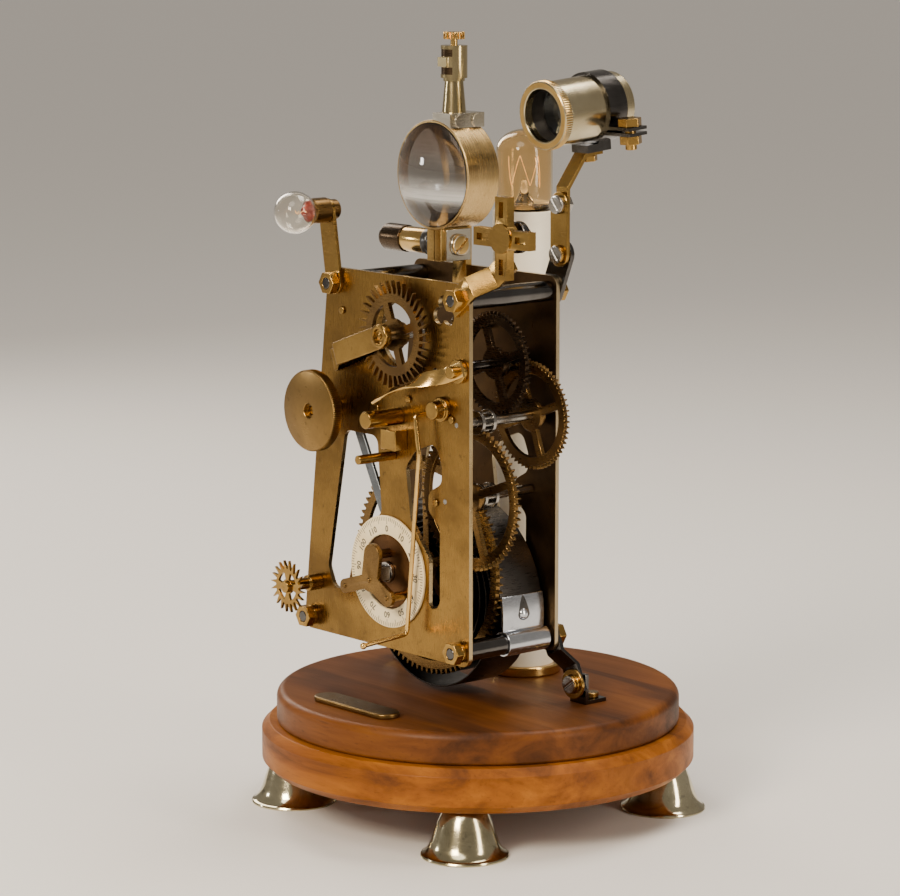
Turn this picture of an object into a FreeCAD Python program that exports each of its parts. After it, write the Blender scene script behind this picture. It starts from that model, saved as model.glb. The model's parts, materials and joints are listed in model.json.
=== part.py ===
import FreeCAD, Part
import math
import os
import Sketcher
from FreeCAD import Placement, Rotation, Vector

# Lantern lamp built round an open clock movement on a turned wooden base.
# Millimetres, +Z up, origin on the floor under the base's centre, movement facing -Y.

sizes = {
    # turned base and feet
    "plinth_radius": 86.0, "plinth_height": 17.5, "plinth_round": 3.0,
    "deck_radius": 80.0, "deck_height": 12.7, "deck_round": 2.0,
    "foot_circle": 74.0, "foot_height": 18.7, "foot_rim": 17.0, "foot_lip": 1.2, "foot_bell": 13.0,
    "foot_top": 7.6, "foot_wall": 1.3, "foot_screw_radius": 2.2, "foot_screw_depth": 9.0,
    "tag_length": 46.0, "tag_width": 11.0, "tag_thick": 2.0, "tag_x": -1.0, "tag_inset": 18.5,
    "inlet_radius": 3.5, "inlet_wall": 1.5, "inlet_length": 12.0, "inlet_flange": 1.5,
    # movement frame
    "plate_thick": 1.8, "plate_gap": 42.2, "plate_back": 0.0, "plate_bottom": 70.0, "plate_top": 216.5,
    "plate_right": 45.2, "plate_left_low": -55.3, "plate_left_high": -38.7, "plate_corner": 4.0,
    "pillar_radius": 4.0, "pillar_x": 40.0, "pillar_left_low": -50.0, "pillar_left_high": -34.0,
    "pillar_low": 75.5, "pillar_high": 210.5, "nut_flat": 8.0, "nut_high": 3.6, "tenon_radius": 2.2,
    "window_round": 4.0, "escape_window": 13.0, "clover_radius": 3.2,
    # going train, one lantern pinion per arbor
    "great_x": -2.0, "great_z": 100.5, "great_teeth": 90, "great_module": 0.94, "great_y": -25.0,
    "second_teeth": 64, "second_module": 0.86, "second_bearing": 44.0, "second_y": -32.0,
    "third_teeth": 60, "third_module": 0.68, "third_bearing": 77.6, "third_y": -6.8,
    "fourth_teeth": 54, "fourth_module": 0.72, "fourth_bearing": 122.2, "fourth_y": -14.6,
    "escape_teeth": 38, "escape_radius": 20.8, "escape_bearing": 147.0, "escape_y": -49.4,
    "pinion_leaves": 8, "wheel_thick": 1.8, "arbor_radius": 1.9, "pivot_radius": 1.0, "pivot_play": 0.05,
    "winding_radius": 4.0, "winding_end": 7.0, "shroud_thick": 1.4, "shroud_edge": 1.2, "shroud_gap": 1.2,
    "hub_radius": 4.6, "hub_length": 2.4, "rim_width": 3.4, "arm_width": 3.2, "tooth_high": 1.0,
    "escape_tooth": 4.6, "cock_thick": 1.6, "cock_gap_y": 4.0, "cock_width": 9.0, "cock_foot_x": -30.0,
    "cock_foot_z": 181.6, "cock_boss": 4.6,
    # mainspring
    "spring_coils": 9, "spring_thick": 0.7, "spring_width": 21.0, "spring_front": -22.6,
    "spring_inner": 6.4, "spring_rise": 2.15, "spring_drop": 5.25, "hook_thick": 0.9, "hook_tongue": 11.5,
    # front fittings
    "thumb_radius": 16.0, "thumb_thick": 4.5, "thumb_x": -34.3, "thumb_z": 161.1, "thumb_stand": 9.5,
    "thumb_bore": 2.0, "star_radius": 10.4, "star_teeth": 20, "star_thick": 1.2, "star_x": -46.0,
    "star_z": 89.7, "star_stand": 14.8, "dial_outer": 22.0, "dial_inner": 14.6, "dial_thick": 1.2,
    "bracket_stand": 7.5, "bracket_thick": 2.0, "strap_width": 6.0, "strap_thick": 1.0, "strap_x": 39.9,
    "strap_z": 183.5, "strap_reach": 43.0, "wire_radius": 0.9, "wire_stand": 5.0, "wire_tip": 20.0,
    "blade_width": 4.4, "blade_thick": 1.4,
    # front lens and its stem
    "lens_x": -9.0, "lens_z": 252.4, "lens_radius": 21.3, "lens_wall": 1.4, "lens_front": -16.0,
    "lens_depth": 16.0, "lens_bulge": 4.5, "block_x": -3.6, "block_wide": 10.4, "block_deep": 17.6,
    "block_top": 276.6,
    "block_sink": 7.0, "stem_x": -6.0, "stem_y": -7.4, "stem_high": 12.0, "stem_foot": 4.7, "stem_neck": 3.6,
    "valve_radius": 5.2, "valve_high": 12.5, "cap_radius": 4.2, "cap_high": 2.8, "cap_teeth": 18,
    "spindle_radius": 1.4, "cap_lift": 2.4, "ear_thick": 4.0, "ear_low": 219.0, "ear_foot": 14.0,
    "square_side": 12.4, "square_thick": 1.6, "screw_head": 4.1, "knob_radius": 5.4, "knob_length": 30.0,
    "knob_collar": 5.0,
    # hand wheel beside the lens
    "hand_x": 62.0, "hand_z": 235.3, "hand_arm": 15.4, "hand_width": 6.8, "hand_thick": 5.0, "hand_hub": 5.6,
    "hand_disc": 6.0, "disc_thick": 3.0, "ear_y": -38.0, "ear_width": 9.0, "ear_strip": 1.6,
    "ear_length": 27.0,
    # jointed arm and its lens barrel
    "lug_thick": 1.8, "lug_width": 11.0, "joint_x": 46.0, "joint_z": 225.0, "link_length": 19.0,
    "link_width": 9.6, "link_thick": 1.6, "joint_pin": 1.6, "joint_play": 0.05, "head_radius": 3.6,
    "head_high": 1.6, "strip_width": 6.4, "strip_thick": 1.4, "strip_high": 19.0, "strip_reach": 13.2,
    "tab_length": 9.0, "barrel_tilt": 5.0, "barrel_radius": 12.4, "barrel_length": 36.5, "barrel_wall": 1.5,
    "barrel_front": -22.5, "rim_length": 4.0, "rim_extra": 0.6, "band_width": 9.0, "band_thick": 1.2,
    "band_y": 4.5,
    "band_foot": 3.0, "band_ear": 11.0, "bolt_radius": 2.2, "bolt_head": 4.4,
    # lamp
    "sleeve_x": -8.5, "sleeve_y": 31.5, "sleeve_radius": 12.5, "sleeve_wall": 1.2, "sleeve_top": 236.0,
    "nut_ring": 15.6, "nut_ring_high": 4.0, "socket_high": 24.0, "bulb_radius": 11.3, "bulb_high": 32.0,
    "glass_wall": 0.9, "cap_shell": 6.9, "globe_radius": 8.3, "globe_x": -38.5, "globe_z": 238.5,
    "globe_stand": 8.0, "holder_radius": 5.0, "bracket_width": 9.0, "bracket_strip": 1.4,
    # lower lugs and feet brackets
    "lug_drop_x": 8.8, "lug_drop_z": 18.5, "lug_back": 5.4, "foot_leg": 11.0, "foot_leg_thick": 1.6,
    "washer_radius": 6.0,
}

doc = FreeCAD.newDocument("lantern_lamp")
sheet = doc.addObject("Spreadsheet::Sheet", "Sizes")
for row, (alias, value) in enumerate(sizes.items(), start=1):
    sheet.set("A%d" % row, alias)
    sheet.set("B%d" % row, str(value))
    sheet.setAlias("B%d" % row, alias)
doc.recompute()

nodes = {}


def size(alias):
    return float(sheet.get(alias))


def value_of(expression):
    result = sheet.evalExpression(expression)
    return float(getattr(result, "Value", result))


def bound(text):
    # An expression on the sheet's own names becomes one that other objects can read.
    words = []
    word = ""
    for mark in text + " ":
        if mark.isalnum() or mark == "_":
            word += mark
            continue
        words.append("Sizes." + word if word in sizes else word)
        words.append(mark)
        word = ""
    return "".join(words).strip()


def keep(label, thing):
    thing.Label = label
    nodes[label] = thing
    return thing


def solid_node(label, shape, place=None):
    thing = doc.addObject("Part::Feature", label)
    thing.Shape = shape
    if place:
        thing.Placement = place
    return keep(label, thing)


def revolved(label, profile, place=Vector(0, 0, 0)):
    # A closed half profile of (radius, height) expressions, turned about Z.
    body = doc.addObject("PartDesign::Body", label)
    sketch = body.newObject("Sketcher::SketchObject", label + "_profile")
    plane = [item for item in body.Origin.OriginFeatures if item.Role == "XZ_Plane"][0]
    sketch.AttachmentSupport = (plane, "")
    sketch.MapMode = "FlatFace"
    points = [Vector(value_of(bound(r)), value_of(bound(z)), 0) for r, z in profile]
    count = len(points)
    for i in range(count):
        sketch.addGeometry(Part.LineSegment(points[i], points[(i + 1) % count]), False)
    for i, (r, z) in enumerate(profile):
        sketch.addConstraint(Sketcher.Constraint("Coincident", i, 2, (i + 1) % count, 1))
        for text, kind, axis in ((r, "DistanceX", -2), (z, "DistanceY", -1)):
            if text == "0":
                sketch.addConstraint(Sketcher.Constraint("PointOnObject", i, 1, axis))
            else:
                index = sketch.addConstraint(Sketcher.Constraint(kind, -1, 1, i, 1, value_of(bound(text))))
                sketch.setExpression("Constraints[%d]" % index, bound(text))
    turn = body.newObject("PartDesign::Revolution", label + "_turned")
    turn.Profile = sketch
    turn.ReferenceAxis = (sketch, ["V_Axis"])
    turn.Angle = 360.0
    body.Placement = Placement(place, Rotation())
    return body


def cylinder(label, radius, length, base, axis):
    # A bound cylinder whose foot is at base and whose length runs along axis.
    thing = doc.addObject("Part::Cylinder", label)
    thing.setExpression("Radius", bound(radius))
    thing.setExpression("Height", bound(length))
    thing.Placement = Placement(base, Rotation(Vector(0, 0, 1), axis))
    return thing


def rod(radius, start, end):
    return Part.makeCylinder(radius, (end - start).Length, start, end - start)


def rod_y(radius, x, z, front, back):
    return rod(radius, Vector(x, front, z), Vector(x, back, z))


def prism_y(wire, front, thick):
    # A flat outline in the XZ plane carried back along Y.
    face = Part.Face(wire)
    face.translate(Vector(0, front, 0))
    return face.extrude(Vector(0, thick, 0))


def polygon(points):
    spots = [Vector(x, 0, z) for x, z in points]
    return Part.makePolygon(spots + spots[:1])


def rounded(points, radius):
    # A closed outline in XZ with every corner rounded as far as its sides allow.
    spots = [Vector(x, 0, z) for x, z in points]
    count = len(spots)
    runs = []
    for i, spot in enumerate(spots):
        before = spots[i - 1] - spot
        after = spots[(i + 1) % count] - spot
        half = before.getAngle(after) / 2
        reach = min(radius / math.tan(half), 0.45 * min(before.Length, after.Length))
        start = spot + before * (reach / before.Length)
        end = spot + after * (reach / after.Length)
        middle = start + end - spot * 2
        bow = reach * math.tan(half)
        heart = spot + middle * (math.hypot(reach, bow) / middle.Length)
        runs.append((start, heart + (spot - heart) * (bow / (spot - heart).Length), end))
    edges = []
    for i, (start, crest, end) in enumerate(runs):
        edges.append(Part.Arc(start, crest, end).toShape())
        edges.append(Part.makeLine(end, runs[(i + 1) % count][0]))
    return Part.Wire(edges)


def stadium(start, end, radius):
    # A strap outline with round ends, in XZ.
    a = Vector(start[0], 0, start[1])
    b = Vector(end[0], 0, end[1])
    along = (b - a).normalize()
    side = Vector(-along.z, 0, along.x)
    far = Part.Arc(b + side * radius, b + along * radius, b - side * radius).toShape()
    near = Part.Arc(a - side * radius, a - along * radius, a + side * radius).toShape()
    return Part.Wire([Part.makeLine(a + side * radius, b + side * radius), far,
                      Part.makeLine(b - side * radius, a - side * radius), near])


def bent_strip(start, bearing, path, thick, width):
    # A strip bent in depth: path gives (distance along the bearing, y of its front face).
    front = [Vector(s, y, 0) for s, y in path]
    back = [Vector(s, y + thick, 0) for s, y in reversed(path)]
    face = Part.Face(Part.makePolygon(front + back + front[:1]))
    strip = face.extrude(Vector(0, 0, width))
    strip.translate(Vector(0, 0, -width / 2))
    strip.rotate(Vector(0, 0, 0), Vector(0, 1, 0), -bearing)
    strip.translate(Vector(start[0], 0, start[1]))
    return strip


def hexagon_y(x, z, across, front, high):
    corner = across / math.sqrt(3)
    ring = [(x + corner * math.cos(math.radians(60 * k)), z + corner * math.sin(math.radians(60 * k)))
            for k in range(6)]
    return prism_y(polygon(ring), front, high)


def fused(shapes):
    return shapes[0].multiFuse(shapes[1:]).removeSplitter()


def step_from(point, distance, bearing):
    return (point[0] + distance * math.cos(math.radians(bearing)),
            point[1] + distance * math.sin(math.radians(bearing)))


# Levels that many pieces share
front_face = size("plate_back") - size("plate_gap") - size("plate_thick")
front_inside = front_face + size("plate_thick")
back_face = size("plate_back") + size("plate_thick")
plinth_low = size("foot_height")
deck_low = plinth_low + size("plinth_height")
deck_top = deck_low + size("deck_height")

# Arbor places follow from the wheels that mesh, each along its own bearing
leaves = int(size("pinion_leaves"))


def pitch_radius(name):
    return int(size(name + "_teeth")) * size(name + "_module") / 2


def pinion_radius(driver):
    return leaves * size(driver + "_module") / 2


def next_arbor(spot, driver, bearing):
    return step_from(spot, pitch_radius(driver) + pinion_radius(driver), bearing)


great = (size("great_x"), size("great_z"))
second = next_arbor(great, "great", size("second_bearing"))
third = next_arbor(second, "second", size("third_bearing"))
fourth = next_arbor(third, "third", size("fourth_bearing"))
escape = next_arbor(fourth, "fourth", size("escape_bearing"))

pillar_spots = {
    "low_right": (size("pillar_x"), size("pillar_low")),
    "high_right": (size("pillar_x"), size("pillar_high")),
    "low_left": (size("pillar_left_low"), size("pillar_low")),
    "high_left": (size("pillar_left_high"), size("pillar_high")),
}


def make_base():
    keep("base_plinth", revolved("base_plinth", [
        ("0", "0"), ("plinth_radius - plinth_round", "0"), ("plinth_radius", "plinth_round"),
        ("plinth_radius", "plinth_height - plinth_round"), ("plinth_radius - plinth_round", "plinth_height"),
        ("0", "plinth_height")], Vector(0, 0, plinth_low)))
    keep("base_deck", revolved("base_deck", [
        ("0", "0"), ("deck_radius", "0"), ("deck_radius", "deck_height - deck_round"),
        ("deck_radius - deck_round", "deck_height"), ("0", "deck_height")], Vector(0, 0, deck_low)))


def make_feet():
    bell = revolved("foot_pattern", [
        ("foot_screw_radius", "foot_height - foot_wall"), ("foot_top - foot_wall", "foot_height - foot_wall"),
        ("foot_bell - foot_wall", "foot_lip + foot_wall"), ("foot_rim - foot_wall * 2", "0"),
        ("foot_rim", "0"), ("foot_rim", "foot_lip"), ("foot_bell", "foot_lip + foot_wall"),
        ("foot_bell - foot_wall", "foot_height * 0.3"), ("foot_top", "foot_height * 0.85"),
        ("foot_top", "foot_height"), ("foot_screw_radius", "foot_height")])
    doc.recompute()
    feet = []
    screws = []
    for quarter in range(4):
        x, y = step_from((0, 0), size("foot_circle"), 45 + 90 * quarter)
        one = bell.Shape.copy()
        one.translate(Vector(x, y, 0))
        feet.append(one)
        under = plinth_low - size("foot_wall")
        head = Part.makeCylinder(size("foot_screw_radius") * 2, size("foot_wall"), Vector(x, y, under),
                                 Vector(0, 0, -1))
        shank = Part.makeCylinder(size("foot_screw_radius"), size("foot_wall") + size("foot_screw_depth"),
                                  Vector(x, y, under))
        screws.append(head.fuse(shank).removeSplitter())
    solid_node("feet", Part.makeCompound(feet + screws))
    return screws


def make_inlet(screws):
    # The lamp lead's bush in the plinth's rear edge, and the plinth drilled for it and the foot screws.
    outer = size("inlet_radius") + size("inlet_wall")
    middle = plinth_low + size("plinth_height") / 2
    back = size("plinth_radius")
    deep = Vector(0, back - size("inlet_length"), middle)
    tube = rod(outer, deep, Vector(0, back - size("inlet_flange"), middle))
    bore = rod(size("inlet_radius"), deep, Vector(0, back, middle))
    solid_node("cord_bush", tube.cut(bore))
    way = rod(outer, deep, Vector(0, back + outer, middle))
    plain = nodes.pop("base_plinth")
    plain.Label = "plinth_blank"
    drills = doc.addObject("Part::Feature", "plinth_drills")
    drills.Shape = Part.makeCompound([way] + screws)
    cut = doc.addObject("Part::Cut", "base_plinth_cut")
    cut.Base = plain
    cut.Tool = drills
    keep("base_plinth", cut)


def make_tag():
    half = size("tag_length") / 2 - size("tag_width") / 2
    outline = stadium((-half, 0), (half, 0), size("tag_width") / 2)
    tag = prism_y(outline, 0, size("tag_thick"))
    tag.rotate(Vector(0, 0, 0), Vector(1, 0, 0), 90)
    tag.translate(Vector(size("tag_x"), size("tag_inset") - size("deck_radius"), deck_top))
    solid_node("base_tag", tag)


def plate_outline():
    return rounded([
        (size("plate_left_low"), size("plate_bottom")), (size("plate_right"), size("plate_bottom")),
        (size("plate_right"), size("plate_top")), (size("plate_left_high"), size("plate_top"))],
        size("plate_corner"))


def window_outlines():
    # Two tall windows either side of the bridge that carries the dial.
    left, low, right = size("plate_left_low"), size("plate_bottom"), size("plate_right")
    x, z = great
    tall = [(left + 26.5, low + 83), (x - 7, low + 83), (x - 4.5, z + 22), (x - 14, z + 17),
            (x - 20, z + 10), (x - 26, low + 19), (left + 19, low + 19), (left + 15.5, low + 27)]
    kidney = [(x + 16, low + 80), (right - 19.5, low + 84.5), (right - 15.8, low + 76),
              (right - 16, low + 69), (right - 23.5, low + 65), (right - 24, low + 58),
              (right - 17, low + 52), (right - 17, low + 21),
              (right - 23.5, low + 19), (x + 24, z + 8), (x + 13, z + 22), (x + 10, low + 73)]
    return [rounded(tall, size("window_round")), rounded(kidney, size("window_round"))]


def clover_outlines():
    x, z = size("pillar_x") - 9.5, size("pillar_high") - 5.5
    reach = size("clover_radius")
    return [step_from((x, z), reach, bearing) for bearing in (90, 210, 330)]


def make_plates():
    thick = size("plate_thick")
    pivot = size("pivot_radius") + size("pivot_play")
    for name, front in (("front_plate", front_face), ("back_plate", size("plate_back"))):
        plate = prism_y(plate_outline(), front, thick)
        tools = [prism_y(wire, front - 1, thick + 2) for wire in window_outlines()]
        for spot in (second, third, fourth):
            tools.append(rod_y(pivot, spot[0], spot[1], front - 1, front + thick + 1))
        for spot in pillar_spots.values():
            tools.append(rod_y(size("tenon_radius"), spot[0], spot[1], front - 1, front + thick + 1))
        if name == "front_plate":
            tools.append(rod_y(size("escape_window"), escape[0], escape[1], front - 1, front + thick + 1))
            tools += [rod_y(size("clover_radius"), x, z, front - 1, front + thick + 1)
                      for x, z in clover_outlines()]
            tools.append(rod_y(size("winding_radius") + size("pivot_play"), great[0], great[1],
                               front - 1, front + thick + 1))
        else:
            tools.append(rod_y(pivot, escape[0], escape[1], front - 1, front + thick + 1))
            tools.append(rod_y(size("winding_radius") - 1 + size("pivot_play"), great[0], great[1],
                               front - 1, front + thick + 1))
        solid_node(name, plate.cut(Part.makeCompound(tools)))


def make_pillars():
    pillars = []
    nuts = []
    front, thick, high = front_face, size("plate_thick"), size("nut_high")
    for spot in pillar_spots.values():
        stem = rod_y(size("pillar_radius"), spot[0], spot[1], front_inside, size("plate_back"))
        tenon = rod_y(size("tenon_radius"), spot[0], spot[1], front - size("ear_strip") - high,
                      back_face + size("lug_thick") + high)
        pillars.append(stem.fuse(tenon).removeSplitter())
        for base in (front - size("ear_strip") - high, back_face + size("lug_thick")):
            nut = hexagon_y(spot[0], spot[1], size("nut_flat"), base, high)
            hole = rod_y(size("tenon_radius"), spot[0], spot[1], base - 1, base + high + 1)
            nuts.append(nut.cut(hole))
        for name, base in (("front", front - size("ear_strip")), ("back", back_face)):
            wanted = name == "front" and spot[1] == size("pillar_low")
            wanted = wanted or (name == "back" and spot == pillar_spots["high_left"])
            if wanted:
                ring = rod_y(size("nut_flat") / 2, spot[0], spot[1], base, base + size("ear_strip"))
                hole = rod_y(size("tenon_radius"), spot[0], spot[1], base, base + size("ear_strip"))
                nuts.append(ring.cut(hole))
    solid_node("pillars", Part.makeCompound(pillars))
    solid_node("pillar_nuts", Part.makeCompound(nuts))


def toothed_face(radius, teeth, foot, tip, root_share, tip_share, lean, phase):
    # A ring of straight-flanked teeth: shares are of one pitch, lean slants each tip.
    pitch = 2 * math.pi / teeth
    points = []
    for k in range(teeth):
        middle = math.radians(phase) + (k + 0.5) * pitch
        for reach, turn in ((radius - foot, -root_share / 2), (radius, -root_share / 2 * 0.96),
                            (radius + tip, lean - tip_share / 2), (radius + tip, lean + tip_share / 2),
                            (radius, root_share / 2 * 0.96), (radius - foot, root_share / 2)):
            angle = middle + turn * pitch
            points.append((reach * math.cos(angle), reach * math.sin(angle)))
    return Part.Face(polygon(points))


def crossing(inner, outer, start, end):
    # One opening between two wheel arms, bounded by the rim and the hub.
    def at(radius, angle):
        return Vector(radius * math.cos(math.radians(angle)), 0, radius * math.sin(math.radians(angle)))
    middle = (start + end) / 2
    half = size("arm_width") / 2
    inner_turn = math.degrees(math.asin(min(0.9, half / inner)))
    outer_turn = math.degrees(math.asin(half / outer))
    a, b = at(inner, start + inner_turn), at(inner, end - inner_turn)
    c, d = at(outer, end - outer_turn), at(outer, start + outer_turn)
    return Part.Wire([Part.Arc(a, at(inner, middle), b).toShape(), Part.makeLine(b, c),
                      Part.Arc(c, at(outer, middle), d).toShape(), Part.makeLine(d, a)])


def wheel(spot, front, radius, teeth, foot, tip, shares, phase, arms, bore):
    face = toothed_face(radius, teeth, foot, tip, shares[0], shares[1], shares[2], phase)
    holes = [Part.Face(Part.Wire(Part.makeCircle(bore, Vector(0, 0, 0), Vector(0, 1, 0))))]
    rim = radius - foot - size("rim_width")
    hub = size("hub_radius") + size("arm_width") / 2
    for k in range(arms):
        turn = 360.0 / arms
        holes.append(Part.Face(crossing(hub, rim, k * turn + 20, (k + 1) * turn + 20)))
    face = face.cut(Part.makeCompound(holes))
    blank = face.extrude(Vector(0, size("wheel_thick"), 0))
    blank.translate(Vector(spot[0], front, spot[1]))
    return blank


def lantern_arbor(spot, driver, mesh_y, front, back, bearing):
    # An arbor with its pivots and a lantern pinion whose pins stand in the driver's teeth.
    pins_at = pinion_radius(driver)
    pin = size(driver + "_module") * 0.62
    half = size("wheel_thick") / 2 + size("shroud_gap")
    middle = mesh_y + size("wheel_thick") / 2
    edge = pins_at + size("shroud_edge")
    pieces = [rod_y(size("arbor_radius"), spot[0], spot[1], front[0], back[0]),
              rod_y(size("pivot_radius"), spot[0], spot[1], front[1], back[1])]
    for end in (middle - half - size("shroud_thick"), middle + half):
        pieces.append(rod_y(edge, spot[0], spot[1], end, end + size("shroud_thick")))
    for k in range(leaves):
        x, z = step_from(spot, pins_at, bearing + 180 + 360.0 * k / leaves)
        pieces.append(rod_y(pin, x, z, middle - half, middle + half))
    return fused(pieces)


def make_train():
    inside = (front_inside + 0.3, size("plate_back") - 0.3)
    through = (front_face, back_face)
    mesh = (0.40, 0.10, 0.0)
    stack = {"great": great, "second": second, "third": third, "fourth": fourth}
    bearings = {"great": size("second_bearing"), "second": size("third_bearing"),
                "third": size("fourth_bearing"), "fourth": size("escape_bearing")}
    for name, spot in stack.items():
        module = size(name + "_module")
        bore = size("winding_radius") if name == "great" else size("arbor_radius")
        body = wheel(spot, size(name + "_y"), pitch_radius(name), int(size(name + "_teeth")), module * 1.15,
                     module * size("tooth_high"), mesh, bearings[name], 5 if name == "great" else 4, bore)
        hub_back = size(name + "_y") + size("wheel_thick")
        wide = max(size("hub_radius"), bore + 1.3)
        boss = rod_y(wide, spot[0], spot[1], hub_back, hub_back + size("hub_length"))
        hole = rod_y(bore, spot[0], spot[1], hub_back - 1, hub_back + size("hub_length") + 1)
        solid_node(name + "_wheel", fused([body, boss.cut(hole)]))
    end = size("winding_end")
    winding = fused([rod_y(size("winding_radius"), great[0], great[1], front_face - end, inside[1]),
                     rod_y(size("winding_radius") - 1, great[0], great[1], inside[1], back_face)])
    square = Part.makeBox(10, end - 2, 10, Vector(great[0] - 5, front_face - end, great[1] - 5))
    side = size("winding_radius") * 1.3
    corner = Vector(great[0] - side / 2, front_face - end, great[1] - side / 2)
    core = Part.makeBox(side, end - 2, side, corner)
    solid_node("winding_arbor", winding.cut(square.cut(core)))
    for name, spot, driver in (("second", second, "great"), ("third", third, "second"),
                               ("fourth", fourth, "third")):
        solid_node(name + "_arbor", lantern_arbor(spot, driver, size(driver + "_y"), (inside[0], through[0]),
                                                  (inside[1], through[1]), bearings[driver]))
    cock_y = size("escape_y") - size("cock_gap_y")
    solid_node("escape_arbor", lantern_arbor(
        escape, "fourth", size("fourth_y"), (cock_y, cock_y - size("cock_thick")),
        (inside[1], through[1]), bearings["fourth"]))
    saw = (0.46, 0.06, 0.30)
    tooth = size("escape_tooth")
    root = size("escape_radius") - tooth
    body = wheel(escape, size("escape_y"), root, int(size("escape_teeth")), 0.4, tooth, saw, 0, 4,
                 size("arbor_radius"))
    boss = rod_y(size("hub_radius"), escape[0], escape[1], size("escape_y") + size("wheel_thick"),
                 front_face - 0.6)
    hole = rod_y(size("arbor_radius"), escape[0], escape[1], size("escape_y"), front_face)
    solid_node("escape_wheel", fused([body, boss.cut(hole)]))


def make_cock():
    # The bridge that carries the escape arbor's front pivot.
    foot = (size("cock_foot_x"), size("cock_foot_z"))
    span = math.hypot(escape[0] - foot[0], escape[1] - foot[1])
    bearing = math.degrees(math.atan2(escape[1] - foot[1], escape[0] - foot[0]))
    thick = size("cock_thick")
    top = size("escape_y") - size("cock_gap_y") - thick
    low = front_face - thick
    path = [(-5, low), (7, low), (7 + thick, top), (span, top)]
    strip = bent_strip(foot, bearing, path, thick, size("cock_width"))
    boss = rod_y(size("cock_boss"), escape[0], escape[1], top, top + thick)
    hole = rod_y(size("pivot_radius") + size("pivot_play"), escape[0], escape[1], top - 1, top + thick + 1)
    screw = rod_y(1.8, foot[0], foot[1], low - 1, low)
    solid_node("escape_cock", fused([strip, boss, screw]).cut(hole))


def spring_turns(offset):
    # Half circles that meet on the arbor's upright line, opening faster below than above.
    rise, drop, inner = size("spring_rise"), size("spring_drop"), size("spring_inner")
    x, z = great
    edges = []
    for k in range(int(size("spring_coils"))):
        top = z + inner + rise * k
        low = z - inner - drop * k
        above = z + inner + rise * (k + 1)
        heart, reach = (top + low) / 2, (top - low) / 2 + offset
        edges.append(Part.Arc(Vector(x, 0, heart + reach), Vector(x + reach, 0, heart),
                              Vector(x, 0, heart - reach)).toShape())
        heart, reach = (above + low) / 2, (above - low) / 2 + offset
        edges.append(Part.Arc(Vector(x, 0, heart - reach), Vector(x - reach, 0, heart),
                              Vector(x, 0, heart + reach)).toShape())
    return edges


def spring_tail():
    # The outer end leaves the coil at its top and drops to the lower right pillar.
    x, z = great
    top = z + size("spring_inner") + size("spring_rise") * int(size("spring_coils"))
    end = (size("pillar_x") - 0.5, size("pillar_low") + 6.5)
    reach = ((end[0] - x) ** 2 + (top - end[1]) ** 2) / (2 * (top - end[1]))
    heart = Vector(x, 0, top - reach)
    return heart, reach, math.degrees(math.atan2(end[1] - heart.z, end[0] - x))


def tail_arc(heart, reach, start, end):
    def at(angle):
        return heart + Vector(reach * math.cos(math.radians(angle)), 0, reach * math.sin(math.radians(angle)))
    return Part.Arc(at(start), at((start + end) / 2), at(end)).toShape()


def arc_band(heart, inner, outer, start, end):
    # The outline of a strip bent along an arc.
    near, far = tail_arc(heart, inner, start, end), tail_arc(heart, outer, start, end)
    caps = [Part.makeLine(near.valueAt(near.FirstParameter), far.valueAt(far.FirstParameter)),
            Part.makeLine(near.valueAt(near.LastParameter), far.valueAt(far.LastParameter))]
    return Part.Wire(Part.__sortEdges__([near, far] + caps))


def make_mainspring():
    half = size("spring_thick") / 2
    heart, reach, stop = spring_tail()
    outer = spring_turns(half) + [tail_arc(heart, reach + half, 90, stop)]
    inner = spring_turns(-half) + [tail_arc(heart, reach - half, 90, stop)]
    first = Part.makeLine(inner[0].Vertexes[0].Point, outer[0].Vertexes[0].Point)
    ends = [edge.valueAt(edge.LastParameter) for edge in (outer[-1], inner[-1])]
    last = Part.makeLine(ends[0], ends[1])
    strip = Part.Face(Part.Wire(Part.__sortEdges__(outer + inner + [first, last])))
    strip.translate(Vector(0, size("spring_front"), 0))
    solid_node("mainspring", strip.extrude(Vector(0, size("spring_width"), 0)))
    gap = min(size("spring_rise"), size("spring_drop")) - size("spring_thick")
    print("mainspring gap between coils: %.2f mm" % gap)
    # The bright loop round the pillar and its tongue behind the spring's end
    x, z = pillar_spots["low_right"]
    front, width = size("spring_front"), size("spring_width")
    thick = size("hook_thick")
    loop = rod_y(size("pillar_radius") + thick, x, z, front, front + width)
    hole = rod_y(size("pillar_radius"), x, z, front, front + width)
    turn = math.degrees(size("hook_tongue") / reach)
    low = stop - math.degrees(3.0 / reach)
    outside, inside = reach + half + thick, reach + half
    tongue = Part.Face(arc_band(heart, inside, outside, low, stop + turn))
    tongue.translate(Vector(0, front, 0))
    solid_node("mainspring_hook", fused([loop, tongue.extrude(Vector(0, width, 0))]).cut(hole))


def make_thumb_disc():
    x, z = size("thumb_x"), size("thumb_z")
    back = front_face - size("thumb_stand")
    front = back - size("thumb_thick")
    disc = rod_y(size("thumb_radius"), x, z, front, back)
    bore = rod_y(size("thumb_bore") + size("pivot_play"), x, z, front, back)
    solid_node("thumb_disc", disc.cut(bore))
    stud = rod_y(size("thumb_bore") * 2, x, z, back, front_face)
    return stud.fuse(rod_y(size("thumb_bore"), x, z, front + size("thumb_thick") / 2, front_face))


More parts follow.
